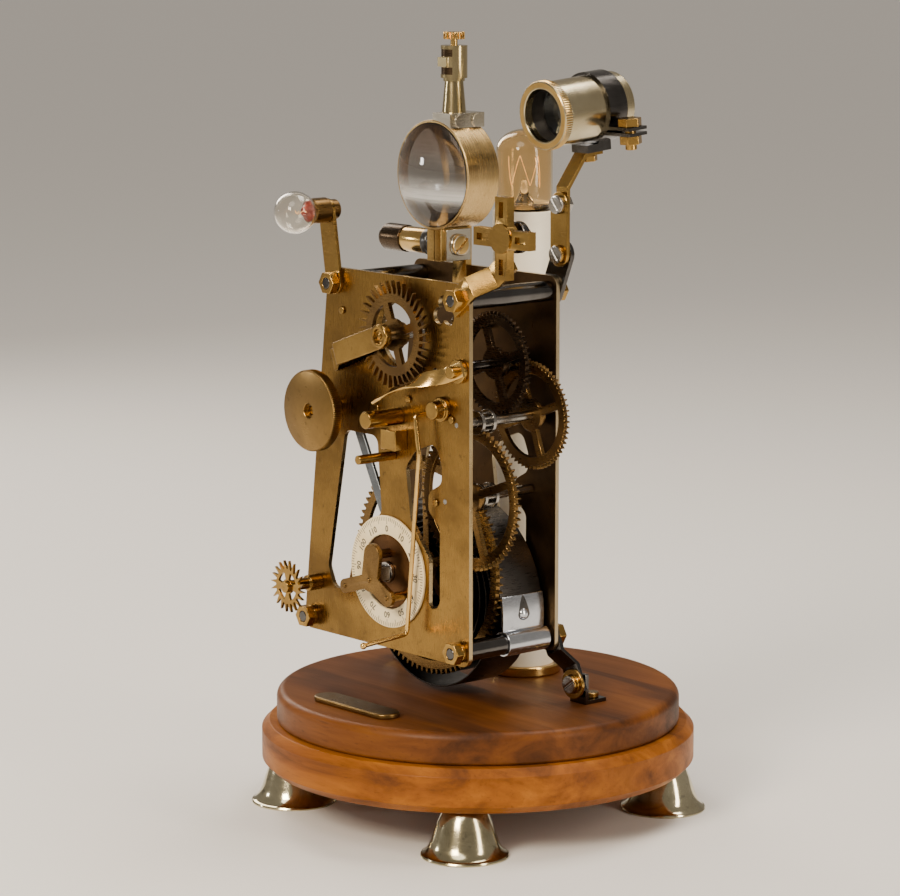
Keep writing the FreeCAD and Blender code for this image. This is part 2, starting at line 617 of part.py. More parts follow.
def make_star_wheel():
    x, z = size("star_x"), size("star_z")
    back = front_face - size("star_stand")
    front = back - size("star_thick")
    shaft = size("pivot_radius") * 1.5
    depth = size("star_radius") * 0.3
    root = size("star_radius") - depth
    face = toothed_face(root, int(size("star_teeth")), 0.2, depth, 0.62, 0.06, 0.2, 0)
    heart = Vector(0, 0, 0)
    bore = Part.makeCircle(shaft + size("pivot_play"), heart, Vector(0, 1, 0))
    holes = [Part.Face(Part.Wire(bore))]
    inner, outer, spread = shaft * 2, root - depth / 2, 18
    for k in range(4):
        holes.append(Part.Face(arc_band(heart, inner, outer, 90 * k + spread, 90 * k + 90 - spread)))
    plate = face.cut(Part.makeCompound(holes)).extrude(Vector(0, size("star_thick"), 0))
    plate.translate(Vector(x, front, z))
    solid_node("star_wheel", plate)
    collar = rod_y(size("pillar_radius") * 0.8, x, z, front_face - size("star_stand") * 0.4, front_face)
    neck = rod_y(shaft * 1.5, x, z, back, front_face)
    pin = rod_y(shaft, x, z, front, back)
    head = rod_y(shaft * 1.6, x, z, front - shaft, front)
    return fused([collar, neck, pin, head])


def make_dial():
    x, z = great
    front = front_face - size("dial_thick")
    ring = rod_y(size("dial_outer"), x, z, front, front_face)
    solid_node("dial_ring", ring.cut(rod_y(size("dial_inner"), x, z, front, front_face)))
    back = front_face - size("bracket_stand")
    front = back - size("bracket_thick")
    thick = size("bracket_thick")
    hub = (x - 1, z - 2.5)
    lobe, arm, finger = (x + 0.5, z + 7.5), (x + 9.5, z - 8), (x - 16, z - 7)
    pieces = [prism_y(stadium(hub, lobe, 4.6), front, thick), prism_y(stadium(hub, arm, 3.4), front, thick),
              prism_y(stadium(hub, finger, 2.8), front, thick)]
    for spot in (lobe, arm):
        pieces.append(rod_y(1.8, spot[0], spot[1], back, front_face))
    for spot in (hub, arm, finger):
        pieces.append(rod_y(0.9, spot[0], spot[1], front - 0.6, front))
    solid_node("dial_bracket", fused(pieces))


def make_posts(studs):
    # Riveted studs on the front plate.
    x, z = size("strap_x"), size("strap_z")
    solids = []
    for spot, bush, pin, tall in (((x, z), 4.6, 2.4, 5.5), ((30.1, 168.0), 4.7, 3.4, 6.0)):
        solids.append(fused([rod_y(bush, spot[0], spot[1], front_face - 2.0, front_face),
                             rod_y(pin, spot[0], spot[1], front_face - tall, front_face)]))
    solids.append(rod_y(3.3, 4.0, 162.3, front_face - 17.0, front_face))
    solids.append(rod_y(1.8, 0.8, 146.6, front_face - 18.0, front_face))
    solids.append(Part.makeBox(9.0, 6.0, 8.0, Vector(0.0, front_face - 6.0, 149.6)))
    for x, z in ((35.3, 164.5), (26.0, 131.5), (10.0, 169.5), (-9.0, 164.0), (-30.0, 200.0)):
        solids.append(rod_y(1.5, x, z, front_face - 0.9, front_face))
    solid_node("front_studs", Part.makeCompound(solids + studs))


def make_levers():
    x, z = size("strap_x"), size("strap_z")
    y = front_face - 2.0 - size("strap_thick")
    reach = size("strap_reach")
    path = [(-4.5, y), (4.5, y), (reach * 0.28, y - 4.5), (reach * 0.45, y - 6.0), (reach, y - 6.0)]
    strip = bent_strip((x, z), 200.5, path, size("strap_thick"), size("strap_width"))
    solid_node("strap_lever", strip.cut(rod_y(2.4, x, z, y - 2, front_face)))
    top, low = (-26.0, 156.5), (-9.5, 124.0)
    y = front_inside + 1.0
    blade = prism_y(stadium(top, low, size("blade_width") / 2), y, size("blade_thick"))
    stud = rod_y(1.5, top[0], top[1], front_inside, y)
    solid_node("steel_lever", fused([blade, stud]))
    wire = size("wire_radius")
    y = front_face - size("wire_stand")
    route = [Vector(19.5, front_face, 165), Vector(19.5, y, 165), Vector(22, y, 150), Vector(14.5, y, 79),
             Vector(12.5, y - size("wire_tip"), 77)]
    pieces = [rod(wire, route[i], route[i + 1]) for i in range(len(route) - 1)]
    pieces += [Part.makeSphere(wire, spot) for spot in route[1:]]
    pieces.append(Part.makeSphere(wire * 1.5, route[-1]))
    solid_node("wire_rod", fused(pieces))


def make_lens():
    x, z = size("lens_x"), size("lens_z")
    front, deep = size("lens_front"), size("lens_depth")
    radius, wall = size("lens_radius"), size("lens_wall")
    ring = revolved("lens_ring", [
        ("lens_radius - lens_wall", "0"), ("lens_radius", "0"), ("lens_radius", "lens_depth"),
        ("lens_radius - lens_wall", "lens_depth")])
    ring.Placement = Placement(Vector(x, front, z), Rotation(Vector(1, 0, 0), -90))
    keep("lens_ring", ring)
    bulge = size("lens_bulge")
    clear = radius - wall
    ball = (clear ** 2 + bulge ** 2) / (2 * bulge)
    dome = Part.makeSphere(ball, Vector(x, front + ball - bulge * 0.4, z))
    slab = rod_y(clear, x, z, front - bulge, front + bulge * 1.6)
    solid_node("lens_glass", slab.common(dome))
    top = size("block_top")
    wide, block_deep = size("block_wide"), size("block_deep")
    tube = rod_y(radius, x, z, front - 20, front + deep + 20)
    block = Part.makeBox(wide, block_deep, size("block_sink"),
                         Vector(size("block_x") - wide / 2, front, top - size("block_sink")))
    side = size("block_x") + wide / 2
    heads = [rod(2.6, Vector(side, front + share * block_deep, top - 3),
                 Vector(side + 0.8, front + share * block_deep, top - 3))
             for share in (0.27, 0.78)]
    solid_node("stem_block", fused([block.cut(tube)] + heads))
    solid_node("valve_stem", make_stem(top))


def make_stem(top):
    x, y = size("stem_x"), size("stem_y")
    high, valve = size("stem_high"), size("valve_high")
    foot = Part.makeCone(size("stem_foot"), size("stem_neck"), high, Vector(x, y, top))
    collar = Part.makeCylinder(size("stem_neck") + 0.6, 1.2, Vector(x, y, top + high))
    base = top + high + 1.2
    barrel = Part.makeCylinder(size("valve_radius"), valve, Vector(x, y, base))
    wall = y - size("valve_radius")
    slots = [Part.makeBox(7, size("valve_radius") + 1, 2.8, Vector(x - 5.5, wall - 1, base + up))
             for up in (1.4, valve - 4.2)]
    block = Part.makeBox(5, 3, 3.6, Vector(x - 2.8, wall - 0.8, base + valve / 2 - 1.8))
    play = size("pivot_play")
    bore = Part.makeCylinder(size("spindle_radius") + play, 6, Vector(x, y, base + valve - 6))
    shell = fused([foot, collar, barrel.cut(Part.makeCompound(slots)), block]).cut(bore)
    cap_low = base + valve + size("cap_lift")
    face = toothed_face(size("cap_radius") - 0.8, int(size("cap_teeth")), 0.1, 0.8, 0.55, 0.4, 0, 0)
    cap = face.extrude(Vector(0, size("cap_high"), 0))
    cap.rotate(Vector(0, 0, 0), Vector(1, 0, 0), 90)
    cap.translate(Vector(x, y, cap_low))
    seat = Vector(x, y, base + valve - 6)
    spindle = Part.makeCylinder(size("spindle_radius"), size("cap_lift") + 6.5, seat)
    solid_node("stem_cap", fused([cap, spindle]))
    return shell


def make_lens_seat():
    # Two brass ears under the lens, clamped by a screw through a square plate.
    x, z = size("lens_x"), size("lens_z")
    front, deep = size("lens_front"), size("lens_depth")
    thick, low = size("ear_thick"), size("ear_low")
    back = size("plate_back")
    tube = rod_y(size("lens_radius"), x, z, front - 20, front + deep + 20)
    tall = z - low
    left = x - thick + 1
    ears = [Part.makeBox(thick * 2, back - front, tall, Vector(left, front, low)).cut(tube)]
    foot = size("ear_foot")
    ears.append(Part.makeBox(thick * 2, 3.0, foot, Vector(left, back - 3.0, low - foot)))
    seam = Part.makeBox(0.4, back - front, tall, Vector(left + thick, front - 1, low))
    middle = (front + back) / 2
    height = low + size("square_side") / 2
    hole = rod(2.0, Vector(left - 1, middle, height), Vector(left + thick * 2 + 1, middle, height))
    solid = fused(ears).cut(Part.makeCompound([seam, hole]))
    solid_node("lens_ears", solid)
    right = left + thick * 2
    side = size("square_side")
    square = Part.makeBox(size("square_thick"), side, side, Vector(right, middle - side / 2, low))
    head = rod(size("screw_head"), Vector(right + size("square_thick"), middle, height),
               Vector(right + size("square_thick") + 1.8, middle, height))
    shank = rod(2.0, Vector(left - 3, middle, height), Vector(right + 2, middle, height))
    slot = Part.makeBox(2, 12, 1.2, Vector(right + size("square_thick") + 0.9, -6, -0.6))
    slot.rotate(Vector(0, 0, 0), Vector(1, 0, 0), 40)
    slot.translate(Vector(0, middle, height))
    solid_node("ear_screw", fused([square, head, shank]).cut(slot))
    collar = rod(size("knob_collar"), Vector(left, middle, height), Vector(left - 5, middle, height))
    end = left - 5 - size("knob_length")
    knob = rod(size("knob_radius"), Vector(left - 5, middle, height), Vector(end, middle, height))
    way = rod(2.0, Vector(left, middle, height), Vector(left - 3, middle, height))
    solid_node("side_knob", fused([collar, knob]).cut(way))


def make_hand_wheel():
    # A strap under the upper right nut carries a disc and the cross handle's spindle.
    start = pillar_spots["high_right"]
    thick = size("ear_strip")
    y = front_face - thick
    far = size("ear_y")
    bearing = 38.0
    path = [(-5, y), (9, y), (15, far), (size("ear_length"), far)]
    strap = bent_strip(start, bearing, path, thick, size("ear_width"))
    eye = rod_y(size("tenon_radius"), start[0], start[1], y - 1, front_face + 1)
    solid_node("hand_strap", strap.cut(eye))
    x, z = size("hand_x"), size("hand_z")
    front = far + thick
    disc = rod_y(size("hand_disc"), x, z, front, front + size("disc_thick"))
    spindle = size("spindle_radius") + 0.8
    solid_node("hand_disc", disc.cut(rod_y(spindle + size("pivot_play"), x, z, front, front + 9)))
    face = far - 1.0
    thick = size("hand_thick")
    arm, wide = size("hand_arm"), size("hand_width")
    cross = [Part.makeBox(arm * 2, thick * 0.7, wide, Vector(x - arm, face - thick * 0.85, z - wide / 2)),
             Part.makeBox(wide, thick * 0.7, arm * 2, Vector(x - wide / 2, face - thick * 0.85, z - arm)),
             rod_y(size("hand_hub"), x, z, face - thick, face)]
    slots = []
    for turn in range(4):
        slot = Part.makeBox(arm * 0.38, 1.2, wide * 0.36, Vector(arm * 0.5, 0, -wide * 0.18))
        slot.rotate(Vector(0, 0, 0), Vector(0, 1, 0), 90 * turn)
        slot.translate(Vector(x, face - thick * 0.85, z))
        slots.append(slot)
    axle = [rod_y(spindle, x, z, face, front + size("disc_thick") + 2.5),
            rod_y(spindle * 1.6, x, z, front + size("disc_thick") + 0.4, front + size("disc_thick") + 2.5)]
    solid_node("cross_handle", fused(cross + axle).cut(Part.makeCompound(slots)))


def make_arm():
    # Steel lug, brass link, bent strip, clamp band and lens barrel, joint by joint.
    corner = pillar_spots["high_right"]
    joint = (size("joint_x"), size("joint_z"))
    lug = prism_y(stadium(corner, joint, size("lug_width") / 2), back_face, size("lug_thick"))
    pin, play = size("joint_pin"), size("joint_play")
    tools = [rod_y(size("tenon_radius"), corner[0], corner[1], back_face - 1, back_face + 5),
             rod_y(pin, joint[0], joint[1], back_face - 1, back_face + 5)]
    solid_node("top_lug", lug.cut(Part.makeCompound(tools)))
    thick = size("link_thick")
    front = back_face - thick
    elbow = (joint[0], joint[1] + size("link_length"))
    link = prism_y(stadium(joint, elbow, size("link_width") / 2), front, thick)
    tools = [rod_y(pin + play, joint[0], joint[1], front - 1, back_face + 1),
             rod_y(pin, elbow[0], elbow[1], front - 1, back_face + 1)]
    solid_node("arm_link", link.cut(Part.makeCompound(tools)))
    high = size("head_high")
    lug_back = back_face + size("lug_thick")
    low_pin = fused([rod_y(pin, joint[0], joint[1], front, lug_back + 1),
                     rod_y(size("head_radius"), joint[0], joint[1], front - high, front),
                     hexagon_y(joint[0], joint[1], size("head_radius") * 1.7, lug_back, 2)])
    strip_back = back_face + size("strip_thick")
    top_pin = fused([rod_y(pin, elbow[0], elbow[1], front, strip_back + 1),
                     rod_y(size("head_radius"), elbow[0], elbow[1], front - high, front),
                     hexagon_y(elbow[0], elbow[1], size("head_radius") * 1.5, strip_back, 2)])
    solid_node("elbow_pin", top_pin)
    make_strip(elbow, pin + play)
    return low_pin


def make_strip(elbow, hole):
    thick, wide = size("strip_thick"), size("strip_width")
    rise, reach, tab = size("strip_high"), size("strip_reach"), size("tab_length")
    tilt = math.radians(size("barrel_tilt"))
    y = back_face
    z = elbow[1]
    knee = y + reach - 4
    lean = [(y, z - 4), (y, z + rise * 0.35), (knee, z + rise),
            (knee + tab * math.cos(tilt), z + rise + tab * math.sin(tilt))]
    side = [Vector(0, a, b) for a, b in lean]
    fold = thick * 0.7
    across = [(thick, 0), (thick, -thick * 0.6), (fold, fold * math.tan(tilt) - thick / math.cos(tilt)),
              (thick * math.sin(tilt), -thick * math.cos(tilt))]
    other = [Vector(0, a + d, b + e) for (a, b), (d, e) in zip(lean, across)]
    face = Part.Face(Part.makePolygon(side + other[::-1] + side[:1]))
    strip = face.extrude(Vector(wide, 0, 0))
    strip.translate(Vector(elbow[0] - wide / 2, 0, 0))
    bore = rod_y(hole, elbow[0], elbow[1], y - 1, y + 4)
    seat = Vector(elbow[0], knee + tab / 2 * math.cos(tilt), z + rise + tab / 2 * math.sin(tilt))
    up = Vector(0, -math.sin(tilt), math.cos(tilt))
    pin = size("joint_pin")
    swivel = rod(pin + size("joint_play"), seat - up * 4, seat + up * 4)
    solid_node("arm_strip", strip.cut(Part.makeCompound([bore, swivel])))
    make_barrel(seat, pin)


def make_barrel(seat, pin):
    # Built upright on its own seat, then tipped with the strip's tab.
    place = Placement(seat, Rotation(Vector(1, 0, 0), size("barrel_tilt")))
    radius, wall = size("barrel_radius"), size("barrel_wall")
    band, width = size("band_thick"), size("band_width")
    axis = size("band_foot") + band + radius
    front, length = size("barrel_front"), size("barrel_length")
    tube = rod_y(radius, 0, axis, front + size("rim_length"), front + length)
    bore = rod_y(radius - wall, 0, axis, front, front + length - wall)
    rim = rod_y(radius + size("rim_extra"), 0, axis, front, front + size("rim_length"))
    rim = rim.cut(rod_y(radius - wall * 1.6, 0, axis, front, front + size("rim_length")))
    solid_node("lens_barrel", Part.makeCompound([tube.cut(bore), rim]), place)
    glass = rod_y(radius - wall, 0, axis, front + 9, front + 12)
    solid_node("barrel_lens", glass, place)
    middle = size("band_y")
    back = middle - width / 2
    ring = rod_y(radius + band, 0, axis, back, back + width)
    foot = Part.makeBox(9, width * 0.7, size("band_foot") + band, Vector(-4.5, middle - width * 0.35, 0))
    toe = Part.makeBox(9, middle + 4.5, size("band_foot"), Vector(-4.5, -4.5, 0))
    ear_low = axis - radius * 0.8
    ear_start = radius * 0.66
    ear_long = radius + size("band_ear") - ear_start
    ears = [Part.makeBox(ear_long, width, band, Vector(ear_start, back, ear_low + up))
            for up in (0, band * 1.8)]
    hole = rod_y(radius, 0, axis, back - 1, back + width + 1)
    bolt_x = radius + size("band_ear") * 0.6
    bolt = size("bolt_radius")
    way = Part.makeCylinder(bolt, 30, Vector(bolt_x, middle, ear_low - 15))
    thread = Part.makeCylinder(pin, size("band_foot"), Vector(0, 0, 0))
    tools = Part.makeCompound([hole, way, thread])
    solid_node("clamp_band", fused([ring, foot, toe] + ears).cut(tools), place)
    top = ear_low + band * 2.8
    head = hexagon_z(bolt_x, middle, size("bolt_head") * 1.8, top, 3.2)
    nut = hexagon_z(bolt_x, middle, size("bolt_head") * 1.7, ear_low - 3.4, 3.4)
    shank = Part.makeCylinder(bolt, top - ear_low + 6.5, Vector(bolt_x, middle, ear_low - 5.5))
    bolt = fused([head, nut, shank])
    thick = size("strip_thick")
    screw = fused([Part.makeCylinder(pin, thick + size("band_foot"), Vector(0, 0, -thick)),
                   hexagon_z(0, 0, size("head_radius") * 1.6, -thick - 2.4, 2.4)])
    solid_node("clamp_bolts", Part.makeCompound([bolt, screw]), place)


def hexagon_z(x, y, across, low, high):
    corner = across / math.sqrt(3)
    turns = [math.radians(60 * k) for k in range(6)]
    ring = [Vector(x + corner * math.cos(turn), y + corner * math.sin(turn), low) for turn in turns]
    return Part.Face(Part.makePolygon(ring + ring[:1])).extrude(Vector(0, 0, high))


def make_lamp():
    x, y = size("sleeve_x"), size("sleeve_y")
    radius, wall, top = size("sleeve_radius"), size("sleeve_wall"), size("sleeve_top")
    upright = Vector(0, 0, 1)
    tall = "sleeve_top - foot_height - plinth_height - deck_height"
    sleeve = cylinder("sleeve_outer", "sleeve_radius", tall, Vector(x, y, deck_top), upright)
    bore = cylinder("sleeve_bore", "sleeve_radius - sleeve_wall", "sleeve_top", Vector(x, y, deck_top - 1),
                    upright)
    cut = doc.addObject("Part::Cut", "candle_sleeve_cut")
    cut.Base = sleeve
    cut.Tool = bore
    keep("candle_sleeve", cut)
    ring = Part.makeCylinder(size("nut_ring"), size("nut_ring_high"), Vector(x, y, deck_top))
    solid_node("ring_nut", ring.cut(Part.makeCylinder(radius, size("nut_ring_high"), Vector(x, y, deck_top))))
    inner = radius - wall
    socket = Part.makeCylinder(inner, size("socket_high"), Vector(x, y, top - size("socket_high")))
    floor = Vector(x, y, top - size("socket_high") + 6)
    well = Part.makeCylinder(size("cap_shell"), size("socket_high"), floor)
    solid_node("lamp_socket", socket.cut(well))
    shell = size("cap_shell")
    glass, wall, high = size("bulb_radius"), size("glass_wall"), size("bulb_high")
    cap = Part.makeCylinder(shell, 15, Vector(x, y, top - 15))
    outer = bulb_solid(x, y, top, glass, high)
    hollow = bulb_solid(x, y, top + wall, glass - wall, high - 2 * wall)
    solid_node("bulb_glass", outer.cut(hollow))
    stem = Part.makeCone(4.0, 1.6, high * 0.42, Vector(x, y, top + wall))
    crest, waist = top + high * 0.75, top + high * 0.42 + wall
    loop = [Vector(x - 5, y, crest), Vector(x, y, waist), Vector(x + 5, y, crest)]
    wires = [rod(0.5, loop[0], loop[1]), rod(0.5, loop[1], loop[2]), rod(0.5, loop[0], loop[2])]
    wires += [Part.makeSphere(0.5, loop[0]), Part.makeSphere(0.5, loop[2])]
    solid_node("bulb_core", Part.makeCompound([cap, fused([stem] + wires)]))


def bulb_solid(x, y, low, radius, high):
    # A straight tube with a domed crown and a short shoulder at its foot.
    crown = radius * 0.75
    body = Part.makeCylinder(radius, high - crown - 3, Vector(x, y, low + 3))
    foot = Part.makeCone(radius - 2.5, radius, 3, Vector(x, y, low))
    ball = (radius ** 2 + crown ** 2) / (2 * crown)
    dome = Part.makeSphere(ball, Vector(x, y, low + high - ball))
    dome = dome.common(Part.makeCylinder(radius, crown, Vector(x, y, low + high - crown)))
    return fused([body, foot, dome])


def make_globe():
    start = pillar_spots["high_left"]
    end = (size("globe_x"), size("globe_z"))
    thick = size("bracket_strip")
    front = front_face - thick
    play = size("pivot_play")
    strap = prism_y(stadium(start, end, size("bracket_width") / 2), front, thick)
    tools = [rod_y(size("tenon_radius") + play, start[0], start[1], front - 1, front_face + 1)]
    solid_node("globe_bracket", strap.cut(Part.makeCompound(tools)))
    holder_front = front - size("globe_stand")
    holder = rod_y(size("holder_radius"), end[0], end[1], holder_front, front)
    back = rod_y(size("holder_radius") * 0.8, end[0], end[1], front_face, front_face + 3.5)
    solid_node("globe_holder", Part.makeCompound([holder, back]))
    ball = size("globe_radius")
    heart = Vector(end[0], holder_front - ball * 0.85, end[1])
    outer = Part.makeSphere(ball, heart)
    half = Part.makeBox(40, 40, 40, Vector(end[0] - 20, holder_front - 40, end[1] - 20))
    neck = Part.makeSphere(ball - size("glass_wall"), heart)
    solid_node("globe_glass", outer.common(half).cut(neck))


def make_lower_lugs(low_pin):
    # Steel lugs from the lower pillars to angle feet screwed on the base.
    lugs, feet, screws = [], [], []
    for name, side in (("low_right", 1), ("low_left", -1)):
        x, z = pillar_spots[name]
        drop = (side * size("lug_drop_x"), -size("lug_drop_z"))
        bearing = math.degrees(math.atan2(drop[1], drop[0]))
        span = math.hypot(*drop)
        thick = size("lug_thick")
        far = back_face + size("lug_back")
        path = [(-5, back_face), (7, back_face), (span - 7, far), (span + 4, far)]
        lug = bent_strip((x, z), bearing, path, thick, size("lug_width") * 0.8)
        end = (x + drop[0], z + drop[1])
        keep_above = Part.makeBox(400, 400, 400, Vector(-200, -200, deck_top + 0.4))
        lug = lug.common(keep_above)
        tools = [rod_y(size("tenon_radius"), x, z, back_face - 1, back_face + 5),
                 rod_y(2.0, end[0], end[1], far - 1, far + 5)]
        lugs.append(lug.cut(Part.makeCompound(tools)))
        leg = size("foot_leg")
        wall = size("foot_leg_thick")
        back = far + thick
        wide = 9.0
        corner = Vector(end[0] - wide / 2, back, deck_top)
        foot = fused([Part.makeBox(wide, wall, end[1] - deck_top + 4, corner),
                      Part.makeBox(wide, leg, wall, corner)])
        feet.append(foot.cut(rod_y(2.0, end[0], end[1], back - 1, back + 5)))
        washer = rod_y(size("washer_radius"), end[0], end[1], far - 1.2, far)
        head = rod_y(3.6, end[0], end[1], far - 3.0, far - 1.2)
        shank = rod_y(2.0, end[0], end[1], far - 1.2, back + wall)
        screws.append(fused([washer, head, shank]))
        screws.append(Part.makeCylinder(3.2, 2.0, Vector(end[0], back + leg * 0.62, deck_top + wall)))
    solid_node("lower_lugs", Part.makeCompound(lugs))
    solid_node("angle_feet", Part.makeCompound(feet))
    solid_node("lug_screws", Part.makeCompound(screws + [low_pin]))


def export_all():
    doc.recompute()
    for thing in doc.Objects:
        if "Invalid" in thing.State or "Error" in thing.State:
            raise RuntimeError("failed object " + thing.Name)
    os.makedirs("parts", exist_ok=True)
    for label, thing in nodes.items():
        shape = thing.Shape
        if shape.isNull() or not shape.isValid() or not shape.Solids:
            raise RuntimeError("bad shape in " + label)
        shape.exportStep("parts/%s.step" % label)
        print("%-18s %d solids %9.1f mm3" % (label, len(shape.Solids), shape.Volume))


make_base()
make_inlet(make_feet())
make_tag()
make_plates()
make_pillars()
make_train()
make_cock()
make_mainspring()
make_posts([make_thumb_disc(), make_star_wheel()])
make_dial()
make_levers()
make_lens()
make_lens_seat()
make_hand_wheel()
arm_pin = make_arm()
make_lamp()
make_globe()
make_lower_lugs(arm_pin)
export_all()
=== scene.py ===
import json
import math

import bmesh
import bpy
import numpy as np
from mathutils import Matrix, Vector


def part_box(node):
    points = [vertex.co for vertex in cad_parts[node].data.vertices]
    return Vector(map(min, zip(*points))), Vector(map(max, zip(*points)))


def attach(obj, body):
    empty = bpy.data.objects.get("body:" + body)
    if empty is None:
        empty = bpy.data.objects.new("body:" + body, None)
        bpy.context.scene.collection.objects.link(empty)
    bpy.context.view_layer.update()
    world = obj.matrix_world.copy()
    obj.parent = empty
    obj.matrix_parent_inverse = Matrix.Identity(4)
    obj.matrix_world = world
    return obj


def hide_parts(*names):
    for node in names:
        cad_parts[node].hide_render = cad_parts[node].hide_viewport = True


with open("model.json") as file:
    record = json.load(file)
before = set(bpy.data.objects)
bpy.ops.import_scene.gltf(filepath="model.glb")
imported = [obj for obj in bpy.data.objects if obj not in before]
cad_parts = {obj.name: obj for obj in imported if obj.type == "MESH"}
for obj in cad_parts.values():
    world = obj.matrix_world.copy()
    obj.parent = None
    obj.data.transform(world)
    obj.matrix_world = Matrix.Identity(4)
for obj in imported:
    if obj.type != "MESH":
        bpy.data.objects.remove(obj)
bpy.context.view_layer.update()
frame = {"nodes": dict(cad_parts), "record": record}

mm = 0.001
record = frame["record"]
nodeBody = {node: body for body, held in record["behaviour"]["bodies"].items() for node in held}
print("frame loaded:", len(nodeBody), "nodes")


# material tools

def startMaterial(name):
    material = bpy.data.materials.new(name)
    material.use_nodes = True
    tree = material.node_tree
    shader = tree.nodes["Principled BSDF"]
    coords = tree.nodes.new("ShaderNodeTexCoord")
    return material, tree, shader, coords


def stretched(tree, coords, scale, turn=(0, 0, 0)):
    mapping = tree.nodes.new("ShaderNodeMapping")
    mapping.inputs["Scale"].default_value = scale
    mapping.inputs["Rotation"].default_value = turn
    tree.links.new(coords.outputs["Object"], mapping.inputs["Vector"])
    return mapping.outputs["Vector"]


def noise(tree, vector, scale, detail=6.0, rough=0.6, distort=0.0):
    node = tree.nodes.new("ShaderNodeTexNoise")
    node.inputs["Scale"].default_value = scale
    node.inputs["Detail"].default_value = detail
    node.inputs["Roughness"].default_value = rough
    node.inputs["Distortion"].default_value = distort
    tree.links.new(vector, node.inputs["Vector"])
    return node.outputs["Fac"]


def ramp(tree, value, stops):
    node = tree.nodes.new("ShaderNodeValToRGB")
    while len(node.color_ramp.elements) < len(stops):
        node.color_ramp.elements.new(0.5)
    for element, (place, color) in zip(node.color_ramp.elements, stops):
        element.position = place
        element.color = (*color, 1.0) if len(color) == 3 else color
    tree.links.new(value, node.inputs["Fac"])
    return node.outputs["Color"]


def grey(low, high):
    return [(low[0], (low[1],) * 3), (high[0], (high[1],) * 3)]


def mixed(tree, factor, first, second, way="MIX"):
    node = tree.nodes.new("ShaderNodeMix")
    node.data_type = "RGBA"
    node.blend_type = way
    if isinstance(factor, float):
        node.inputs[0].default_value = factor
    else:
        tree.links.new(factor, node.inputs[0])
    for socket, value in ((node.inputs[6], first), (node.inputs[7], second)):
        if isinstance(value, tuple):
            socket.default_value = (*value, 1.0)
        else:
            tree.links.new(value, socket)
    return node.outputs[2]


def bumped(tree, shader, height, strength, distance=0.0002):
    node = tree.nodes.new("ShaderNodeBump")
    node.inputs["Strength"].default_value = strength
    node.inputs["Distance"].default_value = distance
    tree.links.new(height, node.inputs["Height"])
    tree.links.new(node.outputs["Normal"], shader.inputs["Normal"])


# one letter of a vector, its X, Y or Z alone
def single(tree, vector, letter):
    node = tree.nodes.new("ShaderNodeSeparateXYZ")
    tree.links.new(vector, node.inputs[0])
    return node.outputs[letter]


# a value carried in a straight line from one span to another
def spanned(tree, value, source, target):
    node = tree.nodes.new("ShaderNodeMapRange")
    node.inputs["From Min"].default_value, node.inputs["From Max"].default_value = source
    node.inputs["To Min"].default_value, node.inputs["To Max"].default_value = target
    tree.links.new(value, node.inputs["Value"])
    return node.outputs["Result"]


# aged metal: two tones in soft clouds, tarnish in spots, hairline scratches along one way
def agedMetal(name, bright, dull, tarnish, shine, spots, hair=(300, 300, 2600), depth=0.035):
    material, tree, shader, coords = startMaterial(name)
    shader.inputs["Metallic"].default_value = 1.0
    plain = coords.outputs["Object"]
    clouds = noise(tree, plain, 38.0, 8.0, 0.62, 0.4)
    tone = mixed(tree, ramp(tree, clouds, grey((0.36, 0.0), (0.66, 1.0))), bright, dull)
    freckles = noise(tree, plain, 240.0, 10.0, 0.72, 0.2)
    tone = mixed(tree, ramp(tree, freckles, grey((spots, 0.0), (spots + 0.16, 0.85))), tone, tarnish)
    lines = noise(tree, stretched(tree, coords, hair, (0.3, 0.2, 0.5)), 1.0, 4.0, 0.5)
    tree.links.new(tone, shader.inputs["Base Color"])
    rough = ramp(tree, mixed(tree, freckles, clouds, lines), grey((0.3, shine[0]), (0.7, shine[1])))
    tree.links.new(rough, shader.inputs["Roughness"])
    bumped(tree, shader, mixed(tree, clouds, lines, freckles), depth)
    return material


# plate brass: aged metal with painted light: brighter towards one side, and its thin edges, picked by their
# own normal, painted pale as a highlight
def plateMetal(name, bright, dull, tarnish, edge, shine, reach=(-0.06, 0.05), paintedLightScale=(0.92, 1.22)):
    material = agedMetal(name, bright, dull, tarnish, shine, 0.58, (2200, 400, 160), 0.035)
    tree = material.node_tree
    shader = tree.nodes["Principled BSDF"]
    coords = next(node for node in tree.nodes if node.type == "TEX_COORD")
    flat = tree.nodes.new("ShaderNodeMath")
    flat.operation = "ABSOLUTE"
    tree.links.new(single(tree, coords.outputs["Normal"], "Y"), flat.inputs[0])
    # painted highlight: faces whose normal lies off the Y axis, the plate's thin edges, take the pale edge
    # colour
    side = ramp(tree, flat.outputs[0], grey((0.25, 1.0), (0.75, 0.0)))
    face = tree.nodes.new("ShaderNodeVectorMath")
    face.operation = "SCALE"
    tree.links.new(shader.inputs["Base Color"].links[0].from_socket, face.inputs[0])
    # painted light: the colour is scaled from darker to brighter along X
    paintedSideLight = spanned(tree, single(tree, coords.outputs["Object"], "X"), reach, paintedLightScale)
    tree.links.new(paintedSideLight, face.inputs["Scale"])
    tree.links.new(mixed(tree, side, face.outputs[0], edge), shader.inputs["Base Color"])
    return material


